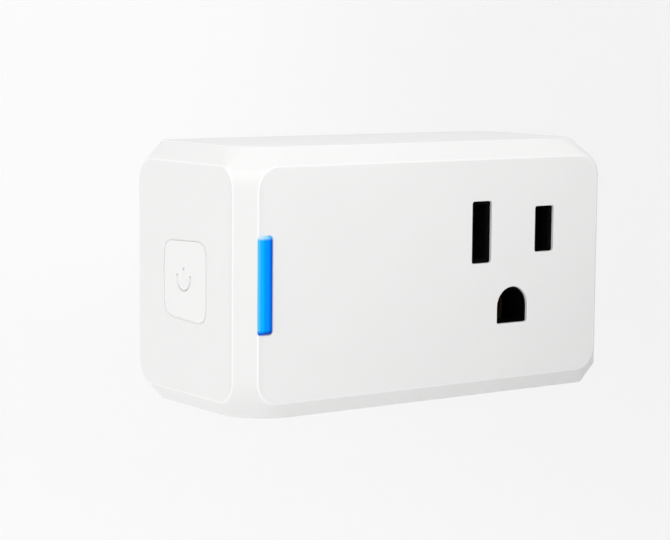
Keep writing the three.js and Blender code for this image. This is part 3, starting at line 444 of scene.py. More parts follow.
class Nodes:
    """A material's node tree with a Principled shader, and short ways to add to it."""

    def __init__(self, name, colour, roughness, **sockets):
        self.material = bpy.data.materials.new(name)
        self.material.use_nodes = True
        self.tree = self.material.node_tree
        self.shader = self.tree.nodes["Principled BSDF"]
        self.shader.inputs["Base Color"].default_value = (*colour, 1)
        self.shader.inputs["Roughness"].default_value = roughness
        for socket, value in sockets.items():
            self.shader.inputs[socket.replace("_", " ")].default_value = value
        self.place = self.add("ShaderNodeTexCoord").outputs["Object"]

    def add(self, kind, **settings):
        node = self.tree.nodes.new(kind)
        for name, value in settings.items():
            setattr(node, name, value)
        return node

    def link(self, output, target):
        self.tree.links.new(output, target)

    def noise(self, size, detail=2, stretch=(1, 1, 1)):
        """Noise whose grain is about size millimetres, longer along the axes with a small stretch."""
        mapping = self.add("ShaderNodeMapping")
        mapping.inputs["Scale"].default_value = [s / (size * MM) for s in stretch]
        self.link(self.place, mapping.inputs["Vector"])
        noise = self.add("ShaderNodeTexNoise")
        noise.inputs["Scale"].default_value = 1
        noise.inputs["Detail"].default_value = detail
        self.link(mapping.outputs["Vector"], noise.inputs["Vector"])
        return noise.outputs["Fac"]

    def along(self, direction):
        """How far a place lies along a direction."""
        node = self.add("ShaderNodeVectorMath", operation="DOT_PRODUCT")
        self.link(self.place, node.inputs[0])
        node.inputs[1].default_value = direction
        return node.outputs["Value"]

    def spread(self, value, low, high, source=(0.3, 0.7), easing="LINEAR"):
        """A value mapped from its source range to low..high."""
        node = self.add("ShaderNodeMapRange", interpolation_type=easing)
        node.inputs["From Min"].default_value = source[0]
        node.inputs["From Max"].default_value = source[1]
        node.inputs["To Min"].default_value = low
        node.inputs["To Max"].default_value = high
        self.link(value, node.inputs["Value"])
        return node.outputs["Result"]

    def ramp(self, value, stops):
        """A colour ramp through (position, colour) stops."""
        node = self.add("ShaderNodeValToRGB")
        elements = node.color_ramp.elements
        while len(elements) < len(stops):
            elements.new(0.5)
        for element, (position, colour) in zip(elements, stops):
            element.position = position
            element.color = (*colour, 1)
        self.link(value, node.inputs["Fac"])
        return node.outputs["Color"]

    def mix(self, share, first, second):
        node = self.add("ShaderNodeMix", data_type="RGBA")
        self.link(share, node.inputs["Factor"])
        self.link(first, node.inputs["A"])
        self.link(second, node.inputs["B"])
        return node.outputs["Result"]

    def scaled(self, colour, share):
        node = self.add("ShaderNodeVectorMath", operation="SCALE")
        self.link(colour, node.inputs[0])
        self.link(share, node.inputs["Scale"])
        return node.outputs["Vector"]

    def vary(self, socket, value):
        self.link(value, self.shader.inputs[socket])

    def bump(self, value, depth):
        """Raises the surface by up to depth millimetres."""
        node = self.add("ShaderNodeBump")
        node.inputs["Distance"].default_value = depth * MM
        self.link(value, node.inputs["Height"])
        self.link(node.outputs["Normal"], self.shader.inputs["Normal"])


def toned(colour, share):
    return [min(1, channel * share) for channel in colour]


def moulded_nodes(name, colour, roughness, grain=0.18, depth=0.004, variation=0.012, **sockets):
    """Moulded plastic: a fine spark-eroded grain, faint blotches, and uneven gloss."""
    nodes = Nodes(name, colour, roughness, **sockets)
    blotch = nodes.noise(9, detail=3)
    tones = [(0.35, toned(colour, 1 - variation)), (0.65, toned(colour, 1 + variation))]
    nodes.tone = nodes.ramp(blotch, tones)
    nodes.vary("Base Color", nodes.tone)
    fine = nodes.noise(grain, detail=3)
    nodes.vary("Roughness", nodes.spread(fine, roughness - 0.06, roughness + 0.06))
    nodes.bump(fine, depth)
    return nodes


def moulded(name, colour, roughness, **options):
    return moulded_nodes(name, colour, roughness, **options).material


def metal(name, colour, roughness, stretch=(1, 1, 0.06), grain=0.12, depth=0.002):
    """Rolled or plated metal: fine marks along one axis, with blotches of tarnish."""
    nodes = Nodes(name, colour, roughness, Metallic=1)
    tarnish = nodes.noise(3.5, detail=4)
    tones = [(0.3, toned(colour, 0.82)), (0.6, colour), (0.8, toned(colour, 1.1))]
    nodes.vary("Base Color", nodes.ramp(tarnish, tones))
    marks = nodes.noise(grain, detail=3, stretch=stretch)
    nodes.vary("Roughness", nodes.spread(marks, roughness - 0.1, roughness + 0.12))
    nodes.bump(marks, depth)
    return nodes.material


def lit_blue_painted_slopes():
    """The lit light pipe, whose glow is paler along its left and top slopes as a painted highlight,
    and deeper along its right and bottom as painted shade.
    """
    nodes = Nodes("light_blue", (0, 0.015, 0.05), 0.25, IOR=1.2, Specular_Tint=(0, 0.25, 1, 1))
    axes = nodes.add("ShaderNodeSeparateXYZ")
    nodes.link(nodes.place, axes.inputs["Vector"])
    low_x, high_x = (x * MM for x in LIGHT_X)
    low_z, high_z = (z * MM for z in LIGHT_Z)
    across = nodes.spread(axes.outputs["X"], 0, 1, (low_x, high_x))
    up = nodes.spread(axes.outputs["Z"], 0, 1, (low_z, high_z))
    # These ramps paint light and shade on the slopes: a painted highlight on the left and top, painted
    # shade on the right and bottom.
    painted_highlight_blue, core = (0.01, 0.45, 0.95), (0, 0.28, 0.96)
    body = [(0.03, (0.10, 0.55, 0.90)), (0.09, painted_highlight_blue), (0.24, (0.004, 0.43, 0.95)), (0.40, core)]
    body += [(0.58, core), (0.68, (0, 0.22, 0.90)), (0.77, (0, 0.13, 0.80)), (0.86, (0, 0.04, 0.40))]
    top = [(0.15, (0.60, 0.80, 0.90)), (0.6, (0.26, 0.70, 0.93)), (0.9, (0, 0.3, 0.9))]
    low = [(0.1, (0, 0.08, 0.66)), (0.5, (0, 0.02, 0.34)), (0.95, (0, 0.005, 0.12))]
    painted_slope_tones = nodes.ramp(across, body)
    with_painted_top_highlight = nodes.mix(nodes.spread(up, 0, 1, (0.965, 0.99)), painted_slope_tones, nodes.ramp(across, top))
    colour = nodes.mix(nodes.spread(up, 0, 1, (0.05, 0.012)), with_painted_top_highlight, nodes.ramp(across, low))
    nodes.vary("Emission Color", colour)
    nodes.shader.inputs["Emission Strength"].default_value = 1
    fine = nodes.noise(0.5, detail=2)
    nodes.vary("Roughness", nodes.spread(fine, 0.2, 0.3))
    nodes.bump(fine, 0.002)
    return nodes.material


def circuit_board(name, mask, track):
    """A solder-masked board: areas of copper show through as paler shapes with raised edges."""
    nodes = Nodes(name, mask, 0.4, Coat_Weight=0.3)
    mapping = nodes.add("ShaderNodeMapping")
    mapping.inputs["Rotation"].default_value = (QUARTER, 0, 0)
    mapping.inputs["Scale"].default_value = (1 / MM,) * 3
    nodes.link(nodes.place, mapping.inputs["Vector"])
    cells = nodes.add("ShaderNodeTexVoronoi", distance="MANHATTAN")
    cells.inputs["Scale"].default_value = 0.35
    nodes.link(mapping.outputs["Vector"], cells.inputs["Vector"])
    copper = nodes.spread(cells.outputs["Color"], 0, 1, (0.45, 0.47))
    blotch = nodes.noise(4, detail=3)
    tones = nodes.ramp(blotch, [(0.3, toned(mask, 0.85)), (0.7, toned(mask, 1.15))])
    paler = nodes.ramp(blotch, [(0.3, track), (0.7, toned(track, 1.1))])
    nodes.vary("Base Color", nodes.mix(copper, tones, paler))
    nodes.vary("Roughness", nodes.spread(nodes.noise(0.3), 0.32, 0.48))
    nodes.bump(copper, 0.03)
    return nodes.material


def case_white(name, colour, roughness):
    """The case's plastic, its colour a little darker along the bevel between its front and its left
    side as painted shade.
    """
    nodes = moulded_nodes(name, colour, roughness, variation=0.004)
    # Painted shade: the colour is scaled down across the bevel between the front and the left side.
    bevel = CASE_LOW.x + BEVEL + CASE_LOW.y
    painted_shade_fade = ((bevel + 0.1) * MM, (bevel + 1.2) * MM)
    share = nodes.spread(nodes.along((1, 1, 0)), 0.945, 1, painted_shade_fade)
    nodes.vary("Base Color", nodes.scaled(nodes.tone, share))
    return nodes.material


# A colour, a roughness, and what differs from the usual.
PLASTICS = {
    # case_edge is lighter than case_white, a painted highlight along the case's rounded edges, and a
    # little glossier.
    "case_edge": ((0.87, 0.87, 0.865), 0.38, dict(variation=0.004)),
    "button_white": ((0.835, 0.835, 0.83), 0.45, dict(variation=0.004)),
    "carrier_black": ((0.002, 0.002, 0.002), 0.9, dict(variation=0.2, Specular_IOR_Level=0.03)),
    "header_black": ((0.02, 0.02, 0.021), 0.5, dict(variation=0.1)),
    "relay_black": ((0.016, 0.017, 0.018), 0.42, dict(variation=0.1)),
    "chip_black": ((0.012, 0.012, 0.013), 0.6, dict(grain=0.08, variation=0.15)),
    "nylon": ((0.62, 0.58, 0.48), 0.5, dict(variation=0.05, Subsurface_Weight=0.1)),
    "led_lens": ((0.80, 0.84, 0.88), 0.12, dict(variation=0.02, Transmission_Weight=0.6)),
    "film_yellow": ((0.62, 0.42, 0.04), 0.4, dict(variation=0.05, Coat_Weight=0.2)),
    "varistor_blue": ((0.02, 0.10, 0.36), 0.3, dict(grain=1.2, depth=0.03, variation=0.1)),
    "resistor_green": ((0.20, 0.29, 0.17), 0.6, dict(grain=0.4, depth=0.02, variation=0.1)),
    "sleeve_black": ((0.015, 0.017, 0.024), 0.3, dict(grain=0.9, depth=0.01, variation=0.1)),
    "ferrite": ((0.04, 0.04, 0.042), 0.75, dict(grain=0.25, depth=0.02, variation=0.2)),
    "tape_yellow": ((0.72, 0.52, 0.06), 0.3, dict(grain=1.6, depth=0.03, variation=0.06)),
}
METALS = {
    "contact_brass": ((0.72, 0.50, 0.22), 0.34, dict()),
    "prong_brass": ((0.80, 0.62, 0.32), 0.28, dict(stretch=(1, 0.06, 1))),
    "screw_steel": ((0.60, 0.61, 0.62), 0.3, dict(stretch=(1, 1, 1))),
    "shield_tin": ((0.66, 0.67, 0.68), 0.34, dict()),
    "relay_iron": ((0.50, 0.50, 0.49), 0.4, dict()),
    "copper_wire": ((0.62, 0.25, 0.10), 0.3, dict(stretch=(0.3, 1, 0.3))),
}
FINISHES = {
    "case_white": case_white("case_white", (0.81, 0.81, 0.805), 0.5),
    "light_blue": lit_blue_painted_slopes(),
    "board_green": circuit_board("board_green", (0.012, 0.11, 0.035), (0.03, 0.22, 0.07)),
    "board_blue": circuit_board("board_blue", (0.01, 0.035, 0.13), (0.03, 0.08, 0.25)),
}
for make, table in ((moulded, PLASTICS), (metal, METALS)):
    for name, (colour, roughness, options) in table.items():
        FINISHES[name] = make(name, colour, roughness, **options)

# ---------------------------------------------------------------- pieces


def make_piece(name, mesh, body, slot, replaced=(), finish=None, edge=None, sharp=40):
    """Turns a solid into a shown piece that rides on a body and stands for CAD nodes."""
    mesh.materials[0] = FINISHES[finish or slot]
    mesh.materials[1] = FINISHES[edge or finish or slot]
    mesh.transform(Matrix.Scale(MM, 4))
    mesh.shade_smooth()
    mesh.set_sharp_from_angle(angle=math.radians(sharp))
    piece = add_object(name, mesh)
    modifier = piece.modifiers.new("normals", "WEIGHTED_NORMAL")
    modifier.keep_sharp = True
    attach(piece, body)
    if replaced:
        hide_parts(*replaced)
    return piece


def case_solid():
    """The whole case's outside, whose front corners aren't all alike."""

    def corners(signs):
        if signs == (1, -1, -1):
            return SHARP_CORNER, FACE_CORNER, SHARP_CORNER
        if signs == (1, -1, 1):
            return FACE_CORNER, FACE_CORNER, UPPER_CORNER
        return FACE_CORNER, FACE_CORNER, SOFT_CORNER if signs[:2] == (-1, -1) else FACE_CORNER

    return bevelled_case(CASE_LOW, CASE_HIGH, BEVEL, corners, EDGE_RADIUS)


def room_solid(gap):
    """The room inside the walls, less a gap all round, running out past the wall face."""
    bevel = BEVEL - WALL * (2 - math.sqrt(2))
    low = CASE_LOW + Vector((WALL + gap,) * 3)
    high = CASE_HIGH - Vector((WALL + gap, -REACH, WALL + gap))
    return bevelled_case(low, high, bevel, lambda signs: (ROOM_CORNER,) * 3, ROOM_EDGE_RADIUS, 3, 2)


def layer(y0, y1):
    """Everything between two depths, wide enough to cover the case."""
    low = (CASE_LOW.x - REACH, y0, CASE_LOW.z - REACH)
    return block(low, (CASE_HIGH.x + REACH, y1, CASE_HIGH.z + REACH))


def slot_outline(width, height, x, corner):
    """A slot's outline, as a function that draws it grown by a margin."""
    return lambda grow: rounded_rect(width + 2 * grow, height + 2 * grow, corner + grow, x)


def ground_outline(radius, below):
    return lambda grow: arch(radius + grow, below + grow, 0, GROUND_Z, ARCH_FOOT + grow)


def round_outline(radius, x, z):
    return lambda grow: circle(radius + grow, x, z, 48)


def window_outlines():
    """The outlines of the receptacle's three windows."""
    return [
        slot_outline(WINDOW_WIDTH, NEUTRAL_WINDOW, -BLADE_X, WINDOW_CORNER),
        slot_outline(WINDOW_WIDTH, LINE_WINDOW, BLADE_X, WINDOW_CORNER),
        ground_outline(GROUND_WINDOW_RADIUS, GROUND_WINDOW_BELOW),
    ]


def light_outline(grow):
    width, height = (ends[1] - ends[0] + 2 * grow for ends in (LIGHT_X, LIGHT_Z))
    corner = max(LIGHT_CORNER + grow, 0.1)
    return rounded_rect(width, height, corner, sum(LIGHT_X) / 2, sum(LIGHT_Z) / 2, 5)


def button_outline(grow):
    """The button's outline, a little taller at its front than at its rear."""
    width, height = BUTTON_WIDTH + 2 * grow, BUTTON_HEIGHT + 2 * grow
    straight = rounded_rect(width, height, BUTTON_CORNER + grow, steps=2)
    return [(BUTTON_Y + y, BUTTON_Z + z * (1 - BUTTON_FLARE * y)) for y, z in straight]


def screw_place(side, level):
    return CASE_CENTRE.x + side * POST_X, CASE_CENTRE.z + level * POST_Z


COVER_SCREWS = [(side, level) for side in (-1, 1) for level in (-1, 1)]
COVER_SCREW_PLACES = [screw_place(*corner) for corner in COVER_SCREWS]


def cover_post(side, level):
    """A screw post on the front wall, tied to the side wall and to the roof or floor by two ribs."""
    x, z = screw_place(side, level)
    end = LIP_FRONT - POST_GAP
    tip = POST_RADIUS - POST_TAPER
    profile = [(POST_RADIUS + POST_FOOT, INNER_FRONT - OVERLAP)]
    profile += [
        (POST_RADIUS + POST_FOOT * outward, INNER_FRONT + POST_FOOT * forward)
        for outward, forward in rolled(5)
    ]
    profile.append((tip, end - 1.5 * POST_TIP))
    profile += arc(tip - POST_TIP, end - POST_TIP, POST_TIP, 0, QUARTER, 4)
    y0, y1 = INNER_FRONT + RIB, end - RIB
    x0, x1 = sorted((x + side * RIB_START, CASE_CENTRE.x + side * (HALF_ROOM.x + OVERLAP)))
    z0, z1 = sorted((z + level * RIB_START, CASE_CENTRE.z + level * (HALF_ROOM.z + OVERLAP)))
    return [
        turned(profile, x, z),
        block((x0, y0, z - RIB / 2), (x1, y1, z + RIB / 2)),
        block((x - RIB / 2, y0, z0), (x + RIB / 2, y1, z1)),
    ]


def front_cover():
    shell = combine(case_solid(), room_solid(0), layer(SPLIT_Y - SPLIT_GAP, REACH))
    start, end = INNER_FRONT - OVERLAP, node_box("power_board")[0].y
    posts = [part for corner in COVER_SCREWS for part in cover_post(*corner)]
    posts += [rod(BOARD_POST_RADIUS, start, end, x, z, 48) for x, z in BOARD_SCREWS]
    shell = combine(shell, *posts, operation="UNION")
    holes = [rod(SCREW_HOLE_RADIUS, COVER_HOLE_END, 0, x, z) for x, z in COVER_SCREW_PLACES]
    holes += [rod(SCREW_HOLE_RADIUS, BOARD_HOLE_END, 0, x, z) for x, z in BOARD_SCREWS]
    face, through = CASE_LOW.y, INNER_FRONT + 1
    windows = [opening(outline, on_y, face, through) for outline in window_outlines()]
    light = opening(lambda grow: light_outline(grow + LIGHT_SEAM), on_y, face, through, LIGHT_RIM)
    side, step = CASE_LOW.x, CASE_LOW.x + GROOVE_DEPTH
    levels = [(BUTTON_SEAM, side + WALL + 1), (BUTTON_SEAM, step)]
    levels += [(GROOVE_WIDTH, step), (GROOVE_WIDTH, side - 1)]
    button = stack([on_x(button_outline(grow), x) for grow, x in levels])
    mesh = combine(shell, *windows, light, button, *holes)
    return make_piece("case_front", mesh, "housing", "case_white", ["front_cover"], edge="case_edge")


def blade_boxes(grow, y0, y1):
    """Boxes round the two blades, grown by a margin."""
    boxes = []
    for node in ("neutral_blade", "line_blade"):
        low, high = node_box(node)
        half = BLADE_HALF + grow
        boxes.append(block((low.x - grow, y0, -half), (high.x + grow, y1, half)))
    return boxes


def rear_cover():
    """The wall-side cover: its lip inside the front cover, its screw pads and its prong seats."""
    wall = combine(case_solid(), layer(CASE_LOW.y - REACH, SPLIT_Y + SPLIT_GAP))
    wall = combine(wall, combine(room_solid(LIP_WALL), layer(-REAR_WALL, 2 * REACH)))
    front, back = layer(CASE_LOW.y - REACH, LIP_FRONT), layer(0.1 - REAR_WALL, 2 * REACH)
    lip = combine(room_solid(LIP_GAP), room_solid(LIP_GAP + LIP_WALL), front, back)
    wide, tall = BLADE_SEAT
    seats = [
        block((x - wide, PRONG_FRONT, -tall), (x + wide, SEAT_BACK, tall)) for x in (-BLADE_X, BLADE_X)
    ]
    seats.append(rod(GROUND_SEAT_RADIUS, PRONG_FRONT, SEAT_BACK, 0, GROUND_Z, 48))
    pads = [rod(PAD_RADIUS, LIP_FRONT, SEAT_BACK, x, z, 48) for x, z in COVER_SCREW_PLACES]
    body = combine(wall, lip, *seats, *pads, operation="UNION")
    deep = -2 * REACH
    holes = []
    for place in COVER_SCREW_PLACES:
        recess = round_outline(SCREW_RECESS_RADIUS, *place)
        holes.append(rod(SCREW_HOLE_RADIUS, deep, REACH, *place))
        holes.append(opening(recess, on_y, 0, -SCREW_SEAT, SMALL_RIM))
    ground = round_outline(GROUND_HOLE_RADIUS, 0, GROUND_Z)
    holes.append(opening(ground, on_y, 0, deep, SMALL_RIM))
    body = combine(body, *blade_boxes(BLADE_GAP, deep, REACH), *holes)
    return make_piece("case_rear", body, "housing", "case_white", ["rear_cover"], edge="case_edge")


def power_symbol(face):
    """Cutting tools for the symbol's two round-bottomed grooves: an open ring and a short bar."""
    start, end = QUARTER + SYMBOL_OPENING, 5 * QUARTER - SYMBOL_OPENING
    ring = arc(SYMBOL_Y, SYMBOL_Z, SYMBOL_RADIUS, start, end, 40)
    bar = [(SYMBOL_Y, SYMBOL_Z + up) for up in SYMBOL_BAR]
    leaning = Matrix.Identity(4)
    leaning[0][2] = -SYMBOL_LEAN
    leaning[0][3] = face + RING_DEPTH + SYMBOL_LEAN * SYMBOL_Z
    ring_groove = tube(ring, SYMBOL_GROOVE)
    ring_groove.transform(leaning)
    bar_groove = tube(bar, SYMBOL_GROOVE)
    bar_groove.transform(Matrix.Translation((face + BAR_DEPTH, 0, 0)))
    pits = [tube([(y - 0.01, z), (y + 0.01, z)], SYMBOL_PIT) for y, z in (ring[0], ring[-1], bar[1])]
    for pit in pits:
        pit.transform(Matrix.Translation((face + PIT_DEPTH, 0, 0)))
    return [ring_groove, bar_groove, *pits]


def side_button():
    face = CASE_LOW.x
    inner = face + WALL + 0.1
    joint = inner + BUTTON_OVERLAP
    steps = 5
    loops = [on_x(button_outline(0), joint)]
    for inward, grow in rolled(steps):
        loops.append(on_x(button_outline(-BUTTON_RIM * grow), face + BUTTON_RIM * inward))
    cap = combine(stack(loops, edge_bands=range(1, steps + 1)), *power_symbol(face))
    reach, thickness, corner = BUTTON_FLANGE
    size = BUTTON_WIDTH + 2 * reach
    outline = rounded_rect(size, size, corner, BUTTON_Y, BUTTON_Z)
    flange = stack([on_x(outline, x) for x in (inner, inner + thickness)])
    end = node_box("side_button")[1].x
    stem = stack([on_x(circle(BUTTON_STEM_RADIUS, BUTTON_Y, BUTTON_Z), x) for x in (joint, end)])
    button = combine(cap, flange, stem, operation="UNION")
    return make_piece("button_cap", button, "button", "button_white", ["side_button"])


def light_bar():
    low, high = node_box("light_bar")
    proud, shoulder = low.y, CASE_LOW.y + LIGHT_SLOPE / 2
    loops = [on_y(light_outline(0), high.y), on_y(light_outline(0), shoulder)]
    for rise, grow in rolled(6):
        loops.append(on_y(light_outline(-LIGHT_SLOPE * grow), proud + (shoulder - proud) * rise))
    flange_low = (LIGHT_X[0] + 1, INNER_FRONT + 0.1, low.z)
    flange = block(flange_low, (high.x, INNER_FRONT + 1, high.z))
    bar = combine(stack(loops), flange, operation="UNION")
    return make_piece("light_pipe", bar, "housing", "light_blue", ["light_bar"])


def outlet_carrier():
    """The black moulding behind the windows, with its bosses, slots and contact chambers."""
    low, high = node_box("outlet_carrier")
    face, joint, back = low.y, INNER_FRONT + OVERLAP, high.y
    outline = rounded_rect(high.x - low.x, high.z - low.z, CARRIER_CORNER, 0, (low.z + high.z) / 2)
    body = stack([on_y(outline, y) for y in (INNER_FRONT, back)])
    bosses = [stack([on_y(draw(-BOSS_GAP), y) for y in (face, joint)]) for draw in window_outlines()]
    slots = [
        slot_outline(SLOT_WIDTH, NEUTRAL_SLOT, -BLADE_X, SLOT_CORNER),
        slot_outline(SLOT_WIDTH, LINE_SLOT, BLADE_X, SLOT_CORNER),
        ground_outline(GROUND_SLOT_RADIUS, GROUND_SLOT_BELOW),
    ]
    cuts = [opening(draw, on_y, face, CHAMBER_FRONT + 1, SLOT_LEAD_IN) for draw in slots]
    cuts += [
        block((x - wide, CHAMBER_FRONT, z - tall), (x + wide, back + 1, z + tall))
        for x, z, wide, tall in CHAMBERS
    ]
    mesh = combine(combine(body, *bosses, operation="UNION"), *cuts)
    return make_piece("receptacle_carrier", mesh, "housing", "carrier_black", ["outlet_carrier"])


# ---------------------------------------------------------------- prongs and screws


def flat_blade(node):
    """A flat blade with a bevelled tip, a punched hole, a shoulder and a tail."""
    low, high = node_box(node)
    x = (low.x + high.x) / 2
    thin, shoulder = (high.x - low.x) / 2, high.z
    corner, slope, tail = 1.1, 0.45, (0.6, 3.2)
    tip = arc(high.y - corner, BLADE_HALF - corner, corner, QUARTER, 0, 8)
    side = [(PRONG_FRONT, BLADE_HALF)] + tip + [(y, -z) for y, z in reversed(tip)]
    side += [(PRONG_FRONT, -BLADE_HALF), (PRONG_FRONT, -shoulder), (PRONG_SHOULDER, -shoulder)]
    side += [(PRONG_SHOULDER, tail[0]), (low.y, tail[0]), (low.y, tail[1])]
    side += [(PRONG_SHOULDER, tail[1]), (PRONG_SHOULDER, shoulder), (PRONG_FRONT, shoulder)]
    profile = stack([on_x(side, x - thin), on_x(side, x + thin)])
    above = [(x - thin, low.y - 1), (x + thin, low.y - 1), (x + thin, high.y - 2 * slope)]
    above += [(x + thin - slope, high.y), (x - thin + slope, high.y), (x - thin, high.y - 2 * slope)]
    wedge = stack([on_z(above, z) for z in (-2 * shoulder, 2 * shoulder)])
    hole_outline = circle(BLADE_HOLE_RADIUS, BLADE_HOLE_Y, 0, 48)
    hole = stack([on_x(hole_outline, at) for at in (x - 2, x + 2)])
    mesh = combine(combine(profile, wedge, operation="INTERSECT"), hole)
    piece = make_piece(node + "_metal", mesh, "housing", "prong_brass", [node])
    soften(piece, 0.12, 3)
    return piece


def ground_pin():
    low, high = node_box("ground_pin")
    radius, nose, shoulder, tail, chamfer = 2.38, 1.9, 3.4, 1.2, 0.15
    front, back = PRONG_FRONT, PRONG_SHOULDER
    profile = [(0, low.y), (tail - 0.2, low.y), (tail, low.y + 0.2), (tail, back)]
    profile += [(shoulder - chamfer, back), (shoulder, back + chamfer)]
    profile += [(shoulder, front - chamfer), (shoulder - chamfer, front), (radius, front)]
    profile += arc(radius - nose, high.y - nose, nose, 0, QUARTER, 12)
    mesh = turned(profile + [(0, high.y)], 0, GROUND_Z, 64)
    return make_piece("ground_prong", mesh, "housing", "prong_brass", ["ground_pin"])


def screw(node):
    """A self-tapping pan-head screw along Y, its point towards -Y, with a cut helical thread."""
    low, high = node_box(node)
    x, z = (low.x + high.x) / 2, (low.z + high.z) / 2
    head_height, head_radius, head_round, shank = 1.35, 2.2, 0.45, 0.8
    core, ridge, ridge_share, pitch, point = 0.78, 0.27, 0.22, 0.9, 1.4
    steps, sides = 12, 28
    seat = high.y - head_height
    length = seat - low.y
    rows = round(length / pitch * steps)
    loops = []
    for i in range(rows + 1):
        y = low.y + length * i / rows
        taper = min(1, (y - low.y) / point)
        loop = []
        for k in range(sides):
            angle = 2 * math.pi * k / sides
            phase = ((y - low.y) / pitch - k / sides) % 1
            height = max(0, 1 - abs(phase - 0.5) / ridge_share) if y < seat - shank else 0
            radius = max(0.03, (core + ridge * height) * taper)
            loop.append(Vector((x + radius * math.cos(angle), y, z + radius * math.sin(angle))))
        loops.append(loop)
    dome = [(core + 0.2, seat), (head_radius, seat)]
    dome += arc(head_radius - head_round, seat + 2 * head_round, head_round, 0, QUARTER, 6)
    dome.append((0.02, high.y))
    loops += [on_y(circle(radius, x, z, sides), y) for radius, y in dome]
    deep, arm, arm_width = high.y - 0.75, 1.3, 0.25
    arms = [
        block((x - wide, deep, z - tall), (x + wide, high.y + 1, z + tall))
        for wide, tall in ((arm, arm_width), (arm_width, arm))
    ]
    mesh = combine(stack(loops), *arms)
    return make_piece(node + "_steel", mesh, "housing", "screw_steel", [node], sharp=50)


# ---------------------------------------------------------------- parts inside


def smoothing_group(angle=35):
    """Geometry nodes that shade a mesh smooth except along edges sharper than an angle."""
    group = bpy.data.node_groups.new("smooth_by_angle", "GeometryNodeTree")
    group.interface.new_socket("Geometry", in_out="INPUT", socket_type="NodeSocketGeometry")
    group.interface.new_socket("Geometry", in_out="OUTPUT", socket_type="NodeSocketGeometry")
    add = group.nodes.new
    start, end = add("NodeGroupInput"), add("NodeGroupOutput")
    faces, edges = add("GeometryNodeSetShadeSmooth"), add("GeometryNodeSetShadeSmooth")
    edges.domain = "EDGE"
    edges.inputs["Shade Smooth"].default_value = False
    bend, compare = add("GeometryNodeInputMeshEdgeAngle"), add("FunctionNodeCompare")
    compare.inputs[1].default_value = math.radians(angle)
    link = group.links.new
    link(start.outputs[0], faces.inputs["Geometry"])
    link(faces.outputs[0], edges.inputs["Geometry"])
    link(bend.outputs["Unsigned Angle"], compare.inputs[0])
    link(compare.outputs["Result"], edges.inputs["Selection"])
    link(edges.outputs[0], end.inputs[0])
    return group


SMOOTHING = smoothing_group()


def soften(piece, width, segments=2, clean=False):
    """Rounds a piece's sharp edges with modifiers, so its own mesh stays as it is."""
    for modifier in list(piece.modifiers):
        piece.modifiers.remove(modifier)
    if clean:
        weld = piece.modifiers.new("weld", "WELD")
        weld.merge_threshold = 2e-6
        flatten = piece.modifiers.new("flatten", "DECIMATE")
        flatten.decimate_type = "DISSOLVE"
        flatten.angle_limit = math.radians(0.5)
    bevel = piece.modifiers.new("edges", "BEVEL")
    bevel.width = width * MM
    bevel.segments = segments
    bevel.limit_method = "ANGLE"
    bevel.angle_limit = math.radians(35)
    smooth = piece.modifiers.new("smooth", "NODES")
    smooth.node_group = SMOOTHING
    normals = piece.modifiers.new("normals", "WEIGHTED_NORMAL")
    normals.keep_sharp = True


def upright(node):
    """Centre, foot, top and radius of a part that stands on the power board, towards -Y."""
    low, high = node_box(node)
    return (low.x + high.x) / 2, (low.z + high.z) / 2, high.y, low.y, (high.x - low.x) / 2


def can_capacitor(node):
    """A can with a crimped foot, a rolled top edge and a scored vent."""
    x, z, foot, top, radius = upright(node)
    edge, crimp, crimp_start, crimp_height, score = 0.6, 0.4, 1.7, 0.9, 0.12
    profile = [(radius - edge, foot)] + arc(radius - edge, foot - edge, edge, QUARTER, 0, 5)
    for i in range(9):
        inward = crimp * math.sin(math.pi * i / 8)
        profile.append((radius - inward, foot - crimp_start - crimp_height * i / 8))
    profile += arc(radius - edge, top + edge, edge, 0, -QUARTER, 6)
    profile += [(radius - 1.2, top), (radius - 1.5, top + 0.25), (0, top + 0.25)]
    scores = [
        block((x - wide, top - 1, z - tall), (x + wide, top + 0.4, z + tall))
        for wide, tall in ((radius - 2, score), (score, radius - 2))
    ]
    mesh = combine(turned(profile, x, z, 64), *scores)
    return make_piece(node + "_can", mesh, "housing", "sleeve_black", [node])


def wound(node, name, slot, flange, wire, bore=0):
    """A winding on a round core, its turns shown as ridges, between flanges of its own size."""
    x, z, foot, top, radius = upright(node)
    inner = radius - (0.4 if flange else 0)
    profile = []
    if flange:
        profile += [(radius, foot), (radius, foot - flange), (inner - wire, foot - flange)]
    start, end = foot - flange, top + flange
    turns = max(2, round((start - end) / (2 * wire)))
    for turn in range(turns):
        for i in range(1, 8):
            y = start + (end - start) * (turn + i / 8) / turns
            profile.append((inner - wire + wire * math.sin(math.pi * i / 8), y))
    if flange:
        profile += [(inner - wire, end), (radius, end), (radius, top)]
    mesh = turned([(0, foot)] + profile + [(0, top)], x, z, 48)
    if bore:
        mesh = combine(mesh, rod(bore, top - 1, foot + 1, x, z, 48))
    return make_piece(name, mesh, "housing", slot, [node])


def varistor():
    """A dipped disc on two leads."""
    low, high = node_box("varistor")
    x, z = (low.x + high.x) / 2, (low.z + high.z) / 2
    radius, thick = (high.x - low.x) / 2, (high.z - low.z) / 2
    y = low.y + radius
    edge, lead_radius, lead_x = thick * 0.75, 0.35, 2.5
    loops = [
        on_z(circle(radius - edge * (1 - math.cos(turn)), x, y, 64), z + thick * math.sin(turn))
        for turn in (QUARTER * i / 8 for i in range(-8, 9))
    ]
    leads = [rod(lead_radius, y, high.y, x + offset, z, 16) for offset in (-lead_x, lead_x)]
    mesh = combine(stack(loops), *leads, operation="UNION")
    return make_piece("varistor_disc", mesh, "housing", "varistor_blue", ["varistor"])


